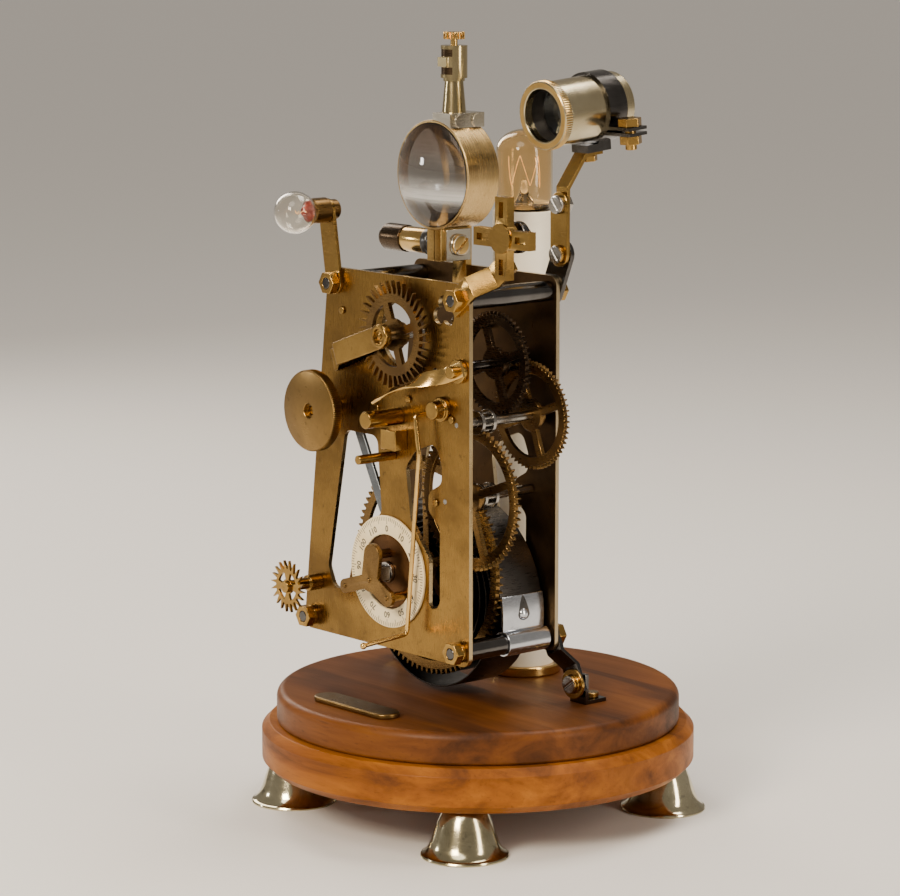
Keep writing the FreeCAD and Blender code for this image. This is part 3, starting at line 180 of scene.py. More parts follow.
# turned wood: rings stretched along the board, drifting colour, fine pores and old dents
def turnedWood(name, dark, warm, pale, gloss):
    material, tree, shader, coords = startMaterial(name)
    long = stretched(tree, coords, (7, 60, 95), (0.05, 0.02, 0.35))
    board = noise(tree, long, 1.0, 9.0, 0.62, 0.5)
    broad = noise(tree, stretched(tree, coords, (9, 22, 26), (0, 0, 0.35)), 1.0, 3.0, 0.5, 0.5)
    pores = noise(tree, stretched(tree, coords, (60, 900, 900), (0, 0, 0.35)), 1.0, 4.0, 0.6)
    grain = ramp(tree, board, [(0.3, dark), (0.5, warm), (0.7, pale)])
    drift = ramp(tree, broad, [(0.3, (0.55, 0.5, 0.47)), (0.7, (1.0, 1.0, 1.0))])
    tone = mixed(tree, ramp(tree, broad, grey((0.2, 0.8), (0.8, 0.5))), grain, drift, "MULTIPLY")
    tone = mixed(tree, ramp(tree, pores, grey((0.58, 0.0), (0.74, 0.55))), tone, dark)
    tree.links.new(tone, shader.inputs["Base Color"])
    tree.links.new(ramp(tree, board, grey((0.3, gloss + 0.12), (0.7, gloss))), shader.inputs["Roughness"])
    shader.inputs["Coat Weight"].default_value = 0.03
    shader.inputs["Coat Roughness"].default_value = 0.25
    shader.inputs["Specular IOR Level"].default_value = 0.16
    bumped(tree, shader, mixed(tree, board, pores, broad), 0.22, 0.0004)
    return material


# enamel and plastic: one colour with faint clouds, dust freckles and a soft sheen
def enamel(name, tone, stain, shine, grainSize):
    material, tree, shader, coords = startMaterial(name)
    clouds = noise(tree, coords.outputs["Object"], grainSize, 6.0, 0.6, 0.3)
    dust = noise(tree, coords.outputs["Object"], grainSize * 12, 8.0, 0.7)
    color = mixed(tree, ramp(tree, clouds, grey((0.4, 0.0), (0.75, 0.7))), tone, stain)
    color = mixed(tree, ramp(tree, dust, grey((0.62, 0.0), (0.74, 0.5))), color, stain)
    tree.links.new(color, shader.inputs["Base Color"])
    tree.links.new(ramp(tree, clouds, grey((0.3, shine[0]), (0.7, shine[1]))), shader.inputs["Roughness"])
    bumped(tree, shader, dust, 0.05)
    return material


# glass: clear body with a breath of smudges in its polish
def clearGlass(name, tint, smudge, ior=1.5):
    material, tree, shader, coords = startMaterial(name)
    shader.inputs["Base Color"].default_value = (*tint, 1.0)
    shader.inputs["Transmission Weight"].default_value = 1.0
    shader.inputs["IOR"].default_value = ior
    film = noise(tree, coords.outputs["Object"], 70.0, 5.0, 0.6, 0.5)
    tree.links.new(ramp(tree, film, grey((0.45, 0.0), (0.8, smudge))), shader.inputs["Roughness"])
    return material


# painted glow on an unlit wire: a warm emission standing for highlights, uneven along the wire
def paintedGlowWire(name, color, strength):
    material, tree, shader, coords = startMaterial(name)
    shader.inputs["Base Color"].default_value = (0.5, 0.3, 0.15, 1.0)
    shader.inputs["Metallic"].default_value = 1.0
    shader.inputs["Emission Strength"].default_value = strength
    shade = noise(tree, coords.outputs["Object"], 400.0, 2.0)
    paintedGlow = ramp(tree, shade, [(0.3, (0.5, 0.25, 0.08)), (0.7, color)])
    tree.links.new(paintedGlow, shader.inputs["Emission Color"])
    return material


# lens glass with painted light and shade: its tint and its clearness run down the height, painted dark above
# and below one bright milky band, a painted reflection
def paintedBandGlass(name, band):
    material, tree, shader, coords = startMaterial(name)
    shader.inputs["IOR"].default_value = 1.5
    height = single(tree, coords.outputs["Object"], "Z")
    share = spanned(tree, height, (band["low"], band["high"]), (0.0, 1.0))
    clear = ramp(tree, share, [(place, (part,) * 3) for place, part in band["clear"]])
    tree.links.new(clear, shader.inputs["Transmission Weight"])
    streaks = noise(tree, stretched(tree, coords, (40, 40, 1500)), 1.0, 4.0, 0.6)
    dim = ramp(tree, streaks, grey((0.3, 0.72), (0.7, 1.0)))
    tint = ramp(tree, share, band["tint"])
    tree.links.new(mixed(tree, 1.0, tint, dim, "MULTIPLY"), shader.inputs["Base Color"])
    film = noise(tree, coords.outputs["Object"], 70.0, 5.0, 0.6, 0.5)
    tree.links.new(ramp(tree, film, grey((0.4, 0.02), (0.8, 0.12))), shader.inputs["Roughness"])
    return material


# painted light and shade of the front lens: tint and clearness by the share of its height
lensPaintedBand = {"low": 0.232, "high": 0.273,
            "tint": [(0.0, (0.12, 0.1, 0.08)), (0.2, (0.2, 0.17, 0.15)), (0.28, (0.86, 0.87, 0.86)),
                     (0.35, (0.8, 0.8, 0.79)), (0.5, (0.3, 0.285, 0.27)), (0.75, (0.15, 0.12, 0.1)),
                     (1.0, (0.07, 0.045, 0.03))],
            "clear": [(0.0, 1.0), (0.22, 0.96), (0.29, 0.5), (0.35, 0.6), (0.5, 0.88), (0.75, 0.97),
                      (1.0, 1.0)]}
# each finish: its maker, then the maker's own values in order
looks = {
    # plate finishes: their fourth colour is the painted highlight on the thin edges, and plateMetal paints
    # them brighter towards one side
    "plateBrass": (plateMetal, (0.27, 0.155, 0.04), (0.15, 0.084, 0.022), (0.045, 0.027, 0.011),
                   (0.42, 0.32, 0.175), (0.18, 0.38)),
    "darkPlate": (plateMetal, (0.1, 0.058, 0.024), (0.045, 0.026, 0.013), (0.02, 0.012, 0.008),
                  (0.4, 0.32, 0.2), (0.24, 0.44)),
    "wheelBrass": (agedMetal, (0.23, 0.135, 0.044), (0.11, 0.062, 0.022), (0.06, 0.034, 0.014),
                   (0.18, 0.4), 0.6),
    "blackWheel": (agedMetal, (0.08, 0.052, 0.03), (0.04, 0.027, 0.017), (0.02, 0.015, 0.01),
                   (0.18, 0.4), 0.54),
    "thumbBrass": (agedMetal, (0.27, 0.165, 0.055), (0.16, 0.095, 0.031), (0.05, 0.03, 0.013),
                   (0.24, 0.42), 0.58),
    "fittingBrass": (agedMetal, (0.42, 0.26, 0.075), (0.25, 0.145, 0.04), (0.07, 0.04, 0.016),
                     (0.12, 0.32), 0.59),
    "brightBrass": (agedMetal, (0.7, 0.47, 0.17), (0.47, 0.29, 0.09), (0.14, 0.08, 0.03),
                    (0.1, 0.26), 0.61),
    "ringBrass": (agedMetal, (0.6, 0.42, 0.19), (0.42, 0.28, 0.11), (0.09, 0.05, 0.02),
                  (0.18, 0.36), 0.6, (60, 2600, 60), 0.02),
    "barrelNickel": (agedMetal, (0.6, 0.53, 0.36), (0.4, 0.335, 0.2), (0.1, 0.07, 0.033),
                     (0.12, 0.28), 0.62, (60, 2600, 60), 0.02),
    "stemNickel": (agedMetal, (0.46, 0.375, 0.205), (0.3, 0.235, 0.115), (0.1, 0.07, 0.033),
                   (0.12, 0.28), 0.62, (60, 2600, 60), 0.02),
    "bellNickel": (agedMetal, (0.68, 0.62, 0.43), (0.38, 0.33, 0.2), (0.1, 0.08, 0.04),
                   (0.06, 0.22), 0.57, (60, 60, 1500), 0.02),
    "plainNickel": (agedMetal, (0.62, 0.58, 0.49), (0.44, 0.4, 0.32), (0.14, 0.11, 0.07),
                    (0.12, 0.3), 0.61),
    "brightSteel": (agedMetal, (0.42, 0.4, 0.37), (0.26, 0.245, 0.22), (0.09, 0.075, 0.055),
                    (0.12, 0.3), 0.6),
    "blueSteel": (agedMetal, (0.6, 0.63, 0.68), (0.36, 0.38, 0.43), (0.08, 0.07, 0.065),
                  (0.12, 0.32), 0.6),
    "leverSteel": (agedMetal, (0.17, 0.185, 0.205), (0.09, 0.1, 0.11), (0.05, 0.04, 0.03),
                   (0.2, 0.42), 0.6),
    "blackSteel": (agedMetal, (0.13, 0.125, 0.122), (0.06, 0.056, 0.053), (0.04, 0.028, 0.02),
                   (0.08, 0.26), 0.6),
    "springSteel": (agedMetal, (0.075, 0.068, 0.062), (0.04, 0.035, 0.031), (0.07, 0.042, 0.022),
                    (0.2, 0.42), 0.58),
    "deckWood": (turnedWood, (0.04, 0.012, 0.002), (0.115, 0.035, 0.004), (0.175, 0.058, 0.007),
                 0.42),
    "plinthWood": (turnedWood, (0.08, 0.024, 0.003), (0.225, 0.068, 0.005), (0.35, 0.122, 0.01),
                   0.4),
    "dialIvory": (enamel, (0.84, 0.71, 0.45), (0.6, 0.43, 0.2), (0.3, 0.45), 90.0),
    "dialInk": (enamel, (0.015, 0.013, 0.01), (0.04, 0.03, 0.02), (0.4, 0.6), 90.0),
    "dialFloor": (agedMetal, (0.12, 0.055, 0.018), (0.07, 0.031, 0.011), (0.03, 0.015, 0.007),
                  (0.3, 0.5), 0.56),
    "sleeveCream": (enamel, (0.86, 0.8, 0.66), (0.7, 0.6, 0.42), (0.35, 0.5), 30.0),
    "blackPaint": (enamel, (0.018, 0.017, 0.016), (0.05, 0.042, 0.036), (0.22, 0.42), 80.0),
    "redBase": (enamel, (0.28, 0.035, 0.02), (0.12, 0.018, 0.012), (0.25, 0.45), 150.0),
    "frontGlass": (paintedBandGlass, lensPaintedBand),
    "lensGlass": (clearGlass, (0.6, 0.62, 0.62), 0.05),
    "globeGlass": (clearGlass, (0.97, 0.94, 0.88), 0.04, 1.35),
    "amberGlass": (clearGlass, (0.97, 0.78, 0.5), 0.05, 1.35),
    "hotWire": (paintedGlowWire, (1.0, 0.6, 0.25), 1.6),
}
finish = {name: maker(name, *values) for name, (maker, *values) in looks.items()}
print("materials:", len(finish))


# piece tools

def settle(piece, node, material, *replaced, slotNode=None):
    piece.data.materials.clear()
    piece.data.materials.append(finish[material])
    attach(piece, nodeBody[node])
    if replaced:
        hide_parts(*replaced)
    return piece


# smooth shading with sharp creases, on a new object in the scene
def shaded(name, mesh, smooth):
    mesh.polygons.foreach_set("use_smooth", np.ones(len(mesh.polygons), dtype=bool))
    mesh.set_sharp_from_angle(angle=math.radians(smooth))
    piece = bpy.data.objects.new(name, mesh)
    bpy.context.scene.collection.objects.link(piece)
    return piece


def meshPiece(name, points, faces, smooth=40.0, merge=1e-6):
    mesh = bpy.data.meshes.new(name)
    mesh.from_pydata(np.asarray(points).reshape(-1, 3).tolist(), [], np.asarray(faces).tolist())
    work = bmesh.new()
    work.from_mesh(mesh)
    bmesh.ops.remove_doubles(work, verts=work.verts[:], dist=merge)
    bmesh.ops.recalc_face_normals(work, faces=work.faces[:])
    work.to_mesh(mesh)
    work.free()
    return shaded(name, mesh, smooth)


# quads of a grid, rows by columns, closed round in either direction
def gridFaces(rows, columns, roundRows=False, roundColumns=True):
    i = np.arange(rows if roundRows else rows - 1)[:, None]
    j = np.arange(columns if roundColumns else columns - 1)[None, :]
    nextRow, nextColumn = (i + 1) % rows, (j + 1) % columns
    corners = (i * columns + j, i * columns + nextColumn,
               nextRow * columns + nextColumn, nextRow * columns + j)
    return np.stack([np.broadcast_to(c, (len(i), j.shape[1])) for c in corners], -1).reshape(-1, 4)


# axes for a turned piece: its own axis plus two at right angles
def turningAxes(axis):
    up = np.array(axis, float) / np.linalg.norm(axis)
    helper = np.array([1.0, 0, 0]) if abs(up[0]) < 0.9 else np.array([0, 0, 1.0])
    first = np.cross(up, helper)
    first /= np.linalg.norm(first)
    return first, np.cross(up, first), up


# turned surface: each (radius, height) of the profile goes round the axis; ripple swells the radius by angle
def turnedPoints(profile, center, axis, count=72, ripple=None):
    profile = np.asarray(profile, float)
    first, second, up = turningAxes(axis)
    turn = np.linspace(0, 2 * math.pi, count, endpoint=False)
    radius = profile[:, :1] + (ripple(turn)[None, :] * profile[:, 2:3] if ripple else 0 * turn[None, :])
    ring = np.cos(turn)[:, None] * first + np.sin(turn)[:, None] * second
    return np.asarray(center) + radius[..., None] * ring[None] + profile[:, 1][:, None, None] * up


def turnedPiece(name, profile, center, axis, count=72, closed=False, ripple=None, smooth=40.0):
    points = turnedPoints(profile, center, axis, count, ripple)
    return meshPiece(name, points, gridFaces(len(profile), count, closed, True), smooth)


# knurled ring: a closed profile whose third value says where the radius follows a cosine of the angle
def knurledPiece(name, ring, center, axis, spec):
    return turnedPiece(name, np.asarray(ring) * [mm, mm, 1.0], center, axis, spec["knurls"] * 6, True,
                       lambda turn: np.cos(turn * spec["knurls"]) * spec["bite"] * mm, 30.0)


# rounds the corners of a profile: each corner becomes a short quadratic bend between its neighbours
def eased(corners, bend, steps=4, closed=False):
    corners = np.asarray(corners, float)
    before, after = np.roll(corners, 1, 0), np.roll(corners, -1, 0)
    sides = [side - corners for side in (before, after)]
    lengths = [np.linalg.norm(side, axis=1, keepdims=True) for side in sides]
    reach = [np.minimum(bend, 0.45 * length) for length in lengths]
    units = [side / np.maximum(length, 1e-12) for side, length in zip(sides, lengths)]
    start, end = (corners + unit * far for unit, far in zip(units, reach))
    share = np.linspace(0, 1, steps)[None, :, None]
    bends = ((1 - share) ** 2 * start[:, None] + 2 * share * (1 - share) * corners[:, None]
             + share ** 2 * end[:, None])
    if not closed:
        bends[0], bends[-1] = corners[0], corners[-1]
    return bends.reshape(-1, corners.shape[1])


# flat strip's section: a thin rectangle with eased corners
def stripSection(wide, thick, crown, steps):
    across, up = wide / 2, thick / 2
    return eased([(-across, -up), (across, -up), (across, up), (-across, up)], crown, steps, True)


# swept section: a closed section of (side, up) offsets carried along a path with its own side and up vectors
def sweptPiece(name, path, side, up, section, smooth):
    section = np.asarray(section, float)
    points = path[:, None] + section[None, :, :1] * side[:, None] + section[None, :, 1:] * up[:, None]
    count = len(section)
    last = (len(path) - 1) * count
    faces = gridFaces(len(path), count).tolist()
    faces += [list(range(count))[::-1], list(range(last, last + count))]
    mesh = bpy.data.meshes.new(name)
    mesh.from_pydata(points.reshape(-1, 3).tolist(), [], faces)
    work = bmesh.new()
    work.from_mesh(mesh)
    bmesh.ops.recalc_face_normals(work, faces=work.faces[:])
    work.to_mesh(mesh)
    work.free()
    return shaded(name, mesh, smooth)


# round wire: a circle carried along a path, its frame turned by the path's own bends
def wirePiece(name, path, radius, sides=10):
    path = np.asarray(path, float)
    apart = np.linalg.norm(np.diff(path, axis=0), axis=1) > 1e-9
    path = path[np.concatenate([[True], apart])]  # repeated points have no direction
    along = np.gradient(path, axis=0)
    along /= np.linalg.norm(along, axis=1, keepdims=True)
    helper = np.array([0.31, 0.17, 0.93])
    side = np.cross(along, helper)
    side /= np.linalg.norm(side, axis=1, keepdims=True)
    turn = np.linspace(0, 2 * math.pi, sides, endpoint=False)
    return sweptPiece(name, path, side, np.cross(along, side),
                      np.stack([np.cos(turn), np.sin(turn)], 1) * radius, 60.0)


# several pieces made one: their meshes are added together
def joined(name, pieces):
    work = bmesh.new()
    for piece in pieces:
        work.from_mesh(piece.data)
        old = piece.data
        bpy.data.objects.remove(piece)
        bpy.data.meshes.remove(old)
    mesh = bpy.data.meshes.new(name)
    work.to_mesh(mesh)
    work.free()
    whole = bpy.data.objects.new(name, mesh)
    bpy.context.scene.collection.objects.link(whole)
    return whole


# middle and half size of a node's box
def heart(node):
    low, high = (np.array(corner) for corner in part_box(node))
    return (low + high) / 2, (high - low) / 2


# machined piece: the node's own solid with its edges broken by a small bevel
breaking = {"merge": 2e-6, "flat": 0.4, "crease": 32.0, "corner": 34.0}


def machined(node, material, width, segments):
    source = frame["nodes"][node]
    work = bmesh.new()
    work.from_mesh(source.data)
    bmesh.ops.remove_doubles(work, verts=work.verts[:], dist=breaking["merge"])
    bmesh.ops.dissolve_limit(work, angle_limit=math.radians(breaking["flat"]), verts=work.verts[:],
                             edges=work.edges[:])
    mesh = bpy.data.meshes.new(node + "Finish")
    work.to_mesh(mesh)
    work.free()
    piece = shaded(node + "Finish", mesh, breaking["crease"])
    bevel = piece.modifiers.new("brokenEdge", "BEVEL")
    bevel.width = width
    bevel.segments = segments
    bevel.limit_method = "ANGLE"
    bevel.angle_limit = math.radians(breaking["corner"])
    bevel.harden_normals = False
    return settle(piece, node, material, node)


# slotted screw head: a low crown over a disc, pressed down along one straight slot
def slottedHead(name, center, axis, radius, high, slotTurn, slotWide=0.26, slotDeep=0.7, rings=16, count=64):
    first, second, up = turningAxes(axis)
    share = np.linspace(0, 1, rings)[:, None]
    turn = np.linspace(0, 2 * math.pi, count, endpoint=False)[None, :]
    across = share * np.sin(turn - slotTurn)
    crown = high * (0.72 + 0.28 * np.sqrt(np.clip(1 - share ** 2 * 0.98, 0, 1)))
    press = 1 / (1 + np.exp((np.abs(across) - slotWide / 2) * 90))
    height = crown - press * slotDeep * high
    ring = np.cos(turn)[..., None] * first + np.sin(turn)[..., None] * second
    top = np.asarray(center) + share[..., None] * radius * ring + height[..., None] * up
    skirt = np.asarray(center) + radius * ring + 0 * up
    points = np.concatenate([top, skirt], 0)
    return meshPiece(name, points, gridFaces(rings + 1, count), 35.0)


# the movement, plates and fittings keep their solids, with broken edges
machining = {
    "base_plinth": ("plinthWood", 1.6, 5), "base_deck": ("deckWood", 1.2, 5),
    "front_plate": ("plateBrass", 0.3, 2), "back_plate": ("darkPlate", 0.3, 2),
    "pillars": ("blackSteel", 0.4, 3), "pillar_nuts": ("fittingBrass", 0.5, 3),
    "great_wheel": ("wheelBrass", 0.15, 1), "second_wheel": ("wheelBrass", 0.15, 1),
    "third_wheel": ("wheelBrass", 0.15, 1), "fourth_wheel": ("blackWheel", 0.15, 1),
    "escape_wheel": ("wheelBrass", 0.14, 1), "winding_arbor": ("brightSteel", 0.3, 2),
    "second_arbor": ("brightSteel", 0.15, 2), "third_arbor": ("brightSteel", 0.15, 2),
    "fourth_arbor": ("blackSteel", 0.15, 2), "escape_arbor": ("brightSteel", 0.15, 2),
    "escape_cock": ("fittingBrass", 0.3, 2), "mainspring_hook": ("blueSteel", 0.2, 2),
    "star_wheel": ("fittingBrass", 0.12, 1), "dial_ring": ("dialIvory", 0.25, 2),
    "dial_bracket": ("wheelBrass", 0.35, 3),
    "steel_lever": ("leverSteel", 0.25, 2), "front_studs": ("fittingBrass", 0.35, 3),
    "lens_ring": ("ringBrass", 0.35, 3), "stem_block": ("plainNickel", 0.5, 3),
    "valve_stem": ("stemNickel", 0.25, 2), "stem_cap": ("brightBrass", 0.2, 2),
    "lens_ears": ("brightBrass", 0.4, 3), "ear_screw": ("plainNickel", 0.3, 2),
    "hand_strap": ("fittingBrass", 0.3, 2),
    "hand_disc": ("blackSteel", 0.5, 3), "cross_handle": ("fittingBrass", 0.5, 3),
    "top_lug": ("blackSteel", 0.3, 2), "arm_link": ("fittingBrass", 0.3, 2),
    "elbow_pin": ("brightSteel", 0.35, 3), "arm_strip": ("fittingBrass", 0.25, 2),
    "lens_barrel": ("barrelNickel", 0.35, 3), "clamp_band": ("blackSteel", 0.25, 2),
    "clamp_bolts": ("fittingBrass", 0.4, 3), "candle_sleeve": ("sleeveCream", 0.4, 3),
    "ring_nut": ("brightBrass", 0.6, 3), "globe_bracket": ("fittingBrass", 0.3, 2),
    "globe_holder": ("wheelBrass", 0.5, 3), "lower_lugs": ("blackSteel", 0.3, 2),
    "angle_feet": ("blackSteel", 0.25, 2), "lug_screws": ("fittingBrass", 0.35, 3),
    "base_tag": ("thumbBrass", 0.5, 3),
}
for node, (material, width, segments) in machining.items():
    machined(node, material, width * mm, segments)
for node, material in (("cord_bush", "blackPaint"), ("lamp_socket", "blackPaint")):
    frame["nodes"][node].data.materials.clear()
    frame["nodes"][node].data.materials.append(finish[material])
print("machined pieces:", len(machining))


# bell feet: a rim, a hollow flare and a straight neck, the same wall inside
bellFoot = {"circle": 74.0, "high": 18.7, "neck": 6.9, "belly": 7.3, "swell": 0.62, "flare": 2.4, "sharp": 9,
            "lip": 1.1, "rim": 17.0, "bead": 0.3, "edge": 0.2, "land": 2.4, "wall": 1.2, "drop": 0.15}


# radius grows from the neck as a rounded swell, plus a small flare at the rim
def bellProfile(spec):
    share = np.linspace(0, 1, 26)
    radius = spec["neck"] + spec["belly"] * share ** spec["swell"] + spec["flare"] * share ** spec["sharp"]
    height = spec["high"] + (spec["lip"] - spec["high"]) * share
    outer = np.stack([radius, height], 1)
    rim = [(spec["rim"] - spec["bead"], spec["lip"]), (spec["rim"], spec["lip"] / 2),
           (spec["rim"] - spec["edge"], 0.0), (spec["rim"] - spec["land"], 0.0)]
    inner = np.stack([radius - spec["wall"], height - spec["drop"]], 1)[:2:-1]
    crown = [(0.0, spec["high"] - spec["wall"])]
    return np.concatenate([[(0.0, spec["high"])], outer, rim, inner, crown]) * mm


feet = []
for quarter in range(4):
    bearing = math.radians(45 + 90 * quarter)
    spot = (bellFoot["circle"] * mm * math.cos(bearing), bellFoot["circle"] * mm * math.sin(bearing), 0)
    feet.append(turnedPiece("bell%d" % quarter, bellProfile(bellFoot), spot, (0, 0, 1), 80))
settle(joined("bellFeet", feet), "feet", "bellNickel", "feet")
print("feet done")


# mainspring: half circles that open faster below than above, then a long arc to the hook
coil = {"turns": 9, "inner": 6.4, "rise": 2.15, "drop": 5.25, "thick": 0.7, "crown": 0.25, "steps": 40,
        "tailEnd": (39.5, 82.0)}


# tail circle: it leaves the coil's top level and passes through the tail's end
def tailCircle(spec, center):
    top = spec["inner"] + spec["rise"] * spec["turns"]
    endX, endZ = spec["tailEnd"][0] - center[0], spec["tailEnd"][1] - center[1]
    reach = (endX ** 2 + (top - endZ) ** 2) / (2 * (top - endZ))
    return top, reach, math.atan2(endX, endZ - top + reach)


# half circles run top, right, foot, left; the tail is one arc that starts level at the coil's top
def coilPath(spec, center):
    half = np.linspace(0, math.pi, spec["steps"], endpoint=False)
    runs = []
    for k in range(spec["turns"]):
        top, foot = spec["inner"] + spec["rise"] * k, -spec["inner"] - spec["drop"] * k
        above = spec["inner"] + spec["rise"] * (k + 1)
        for high, side in ((top, 1), (above, -1)):
            middle, reach = (high + foot) / 2, (high - foot) / 2
            across = np.sin(half) * reach * side
            upward = middle + np.cos(half) * reach * side
            runs.append(np.stack([across, upward], 1))
    top, reach, stop = tailCircle(spec, center)
    turn = np.linspace(0, stop, spec["steps"])
    runs.append(np.stack([np.sin(turn) * reach, top - reach + np.cos(turn) * reach], 1))
    return np.concatenate(runs)


springMiddle, springHalf = heart("mainspring")
axleMiddle, _ = heart("winding_arbor")
coilCenter = (axleMiddle[0] / mm, axleMiddle[2] / mm)
flat = coilPath(coil, coilCenter) * mm
level = np.full(len(flat), springMiddle[1])
path = np.stack([axleMiddle[0] + flat[:, 0], level, axleMiddle[2] + flat[:, 1]], 1)
along = np.gradient(path, axis=0)
along /= np.linalg.norm(along, axis=1, keepdims=True)
across = np.tile([0.0, 1.0, 0.0], (len(path), 1))
section = stripSection(2 * springHalf[1], coil["thick"] * mm, coil["crown"] * mm, 4)
spring = sweptPiece("mainspringCoil", path, across, np.cross(along, across), section, 50.0)
settle(spring, "mainspring", "springSteel", "mainspring")
print("mainspring done")


# thumb disc: a thick flat disc, sunk round its bore, with a finely knurled edge
thumb = {"radius": 16.0, "hole": 2.05, "sink": 2.9, "deep": 1.3, "knurls": 120, "bite": 0.28,
         "soft": 0.2, "shoulder": 0.6, "chamfer": 0.7}
middle, half = heart("thumb_disc")
back, front = half[1] / mm, -half[1] / mm
edge = thumb["radius"] - thumb["bite"]
sunk, soft, shoulder = front + thumb["deep"], thumb["soft"], thumb["shoulder"]
ring = [(thumb["hole"], sunk, 0), (thumb["sink"], sunk, 0), (thumb["sink"], front + soft, 0),
        (thumb["sink"] + soft, front, 0), (edge - thumb["chamfer"], front, 0), (edge - soft, front + soft, 0),
        (edge, front + shoulder, 1), (edge, back - shoulder, 1), (edge - soft, back - soft, 0),
        (edge - thumb["chamfer"], back, 0), (thumb["hole"], back, 0)]
disc = knurledPiece("thumbDisc", ring, middle, (0, 1, 0), thumb)
settle(disc, "thumb_disc", "thumbBrass", "thumb_disc")
print("thumb disc done")


# dial: fine divisions, longer fives and plain numbers on the ivory ring
dial = {"inner": 14.6, "outer": 22.0, "edge": 0.5, "divisions": 120, "every": 5, "fine": 1.5, "long": 2.7,
        "line": 0.26, "numbers": 12, "step": 10, "reach": 16.9, "lift": 0.04, "size": 3.5, "bold": 0.06}
dialMiddle, dialHalf = heart("dial_ring")
dialFront = dialMiddle[1] - dialHalf[1] - dial["lift"] * mm


# one division is a thin upright quad, copied round the ring in one array
def divisionPoints(spec):
    turn = np.arange(spec["divisions"]) * 2 * math.pi / spec["divisions"]
    deep = np.where(np.arange(spec["divisions"]) % spec["every"] == 0, spec["long"], spec["fine"])
    outer = np.full(len(turn), spec["outer"] - spec["edge"])
    inner = outer - deep
    ray = np.stack([np.sin(turn), np.cos(turn)], 1)
    side = np.stack([ray[:, 1], -ray[:, 0]], 1) * spec["line"] / 2
    flat = np.stack([ray * inner[:, None] - side, ray * inner[:, None] + side,
                     ray * outer[:, None] + side, ray * outer[:, None] - side], 1) * mm
    return np.stack([dialMiddle[0] + flat[..., 0], np.full(flat.shape[:2], dialFront),
                     dialMiddle[2] + flat[..., 1]], -1)


marks = divisionPoints(dial)
quads = np.arange(marks.shape[0] * 4).reshape(-1, 4)
inks = [meshPiece("divisions", marks, quads, merge=1e-9)]
for k in range(dial["numbers"]):
    words = bpy.data.curves.new("number%d" % k, "FONT")
    words.body = str(k * dial["step"])
    words.size = dial["size"] * mm
    words.offset = dial["bold"] * mm
    words.align_x, words.align_y = "CENTER", "CENTER"
    words.resolution_u = 2
    holder = bpy.data.objects.new("number%d" % k, words)
    bpy.context.scene.collection.objects.link(holder)
    mesh = bpy.data.meshes.new_from_object(holder)
    bpy.data.objects.remove(holder)
    bpy.data.curves.remove(words)
    turn = k * 2 * math.pi / dial["numbers"]
    reach = dial["reach"] * mm
    mesh.transform(Matrix.Rotation(-turn, 4, "Z"))
    mesh.transform(Matrix.Translation((reach * math.sin(turn), reach * math.cos(turn), 0)))
    mesh.transform(Matrix.Rotation(math.pi / 2, 4, "X"))
    mesh.transform(Matrix.Translation((dialMiddle[0], dialFront, dialMiddle[2])))
    number = bpy.data.objects.new("number%d" % k, mesh)
    bpy.context.scene.collection.objects.link(number)
    inks.append(number)
settle(joined("dialMarks", inks), "dial_ring", "dialInk")
dialDish = {"bore": 4.2, "thick": 0.5, "bevel": 0.5, "gap": 0.1, "lip": 0.2}
rim = dial["inner"] - dialDish["gap"]
dishLine = [(dialDish["bore"], 0.0), (dialDish["bore"], -dialDish["thick"]),
            (dial["inner"] - dialDish["bevel"], -dialDish["thick"]), (rim, -dialDish["lip"]), (rim, 0.0)]
dishPlace = (dialMiddle[0], dialMiddle[1] + dialHalf[1], dialMiddle[2])
dish = turnedPiece("dialFloor", np.asarray(dishLine) * mm, dishPlace, (0, 1, 0), 72, True)
settle(dish, "dial_ring", "dialFloor", slotNode="dial_bracket")
print("dial done")


# wire rod: a bent wire through smoothed corners, with a small ball at its tip
rod = {"radius": 0.9, "ball": 1.35, "bend": 1.6,
       "route": [(19.5, -44, 165), (19.5, -48.4, 165), (19.7, -49, 164), (22, -49, 150),
                 (14.6, -49, 80), (14.4, -50, 79), (12.5, -69, 77)]}
route = eased(rod["route"], rod["bend"], 6) * mm
ballTurn = np.linspace(0, math.pi, 14)
ball = np.stack([np.sin(ballTurn), -np.cos(ballTurn)], 1) * rod["ball"] * mm
tip = turnedPiece("wireBall", ball, np.asarray(rod["route"][-1]) * mm, (0, 1, 0), 24)
wire = joined("wireRod", [wirePiece("wireRun", route, rod["radius"] * mm, 14), tip])
settle(wire, "wire_rod", "brightBrass", "wire_rod")
print("wire rod done")


# front lens: a full cap that stands over the ring's rim, a straight edge inside the ring and a shallow back
frontLens = {"edge": 20.4, "rise": 5.4, "bore": 19.85, "back": 1.6, "gap": 0.02, "lap": 0.15}


# cap height falls off as a circle's arc: sphere radius from chord and rise
def capProfile(edge, rise, base, sign, steps=18):
    ball = (edge ** 2 + rise ** 2) / (2 * rise)
    r = np.linspace(0, edge, steps)
    return np.stack([r, base + sign * (np.sqrt(ball ** 2 - r ** 2) - ball + rise)], 1)


middle, half = heart("lens_glass")
ringFront = (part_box("lens_ring")[0][1] - middle[1]) / mm - frontLens["gap"]
rear = half[1] / mm - frontLens["back"]
capFoot = ringFront - frontLens["lap"]
profile = np.concatenate([capProfile(frontLens["edge"], frontLens["rise"], capFoot, -1),
                          [(frontLens["edge"], ringFront), (frontLens["bore"], ringFront)],
                          capProfile(frontLens["bore"], frontLens["back"], rear, 1)[::-1]])
lens = turnedPiece("frontLens", profile * mm, middle, (0, 1, 0), 96)
settle(lens, "lens_glass", "frontGlass", "lens_glass")

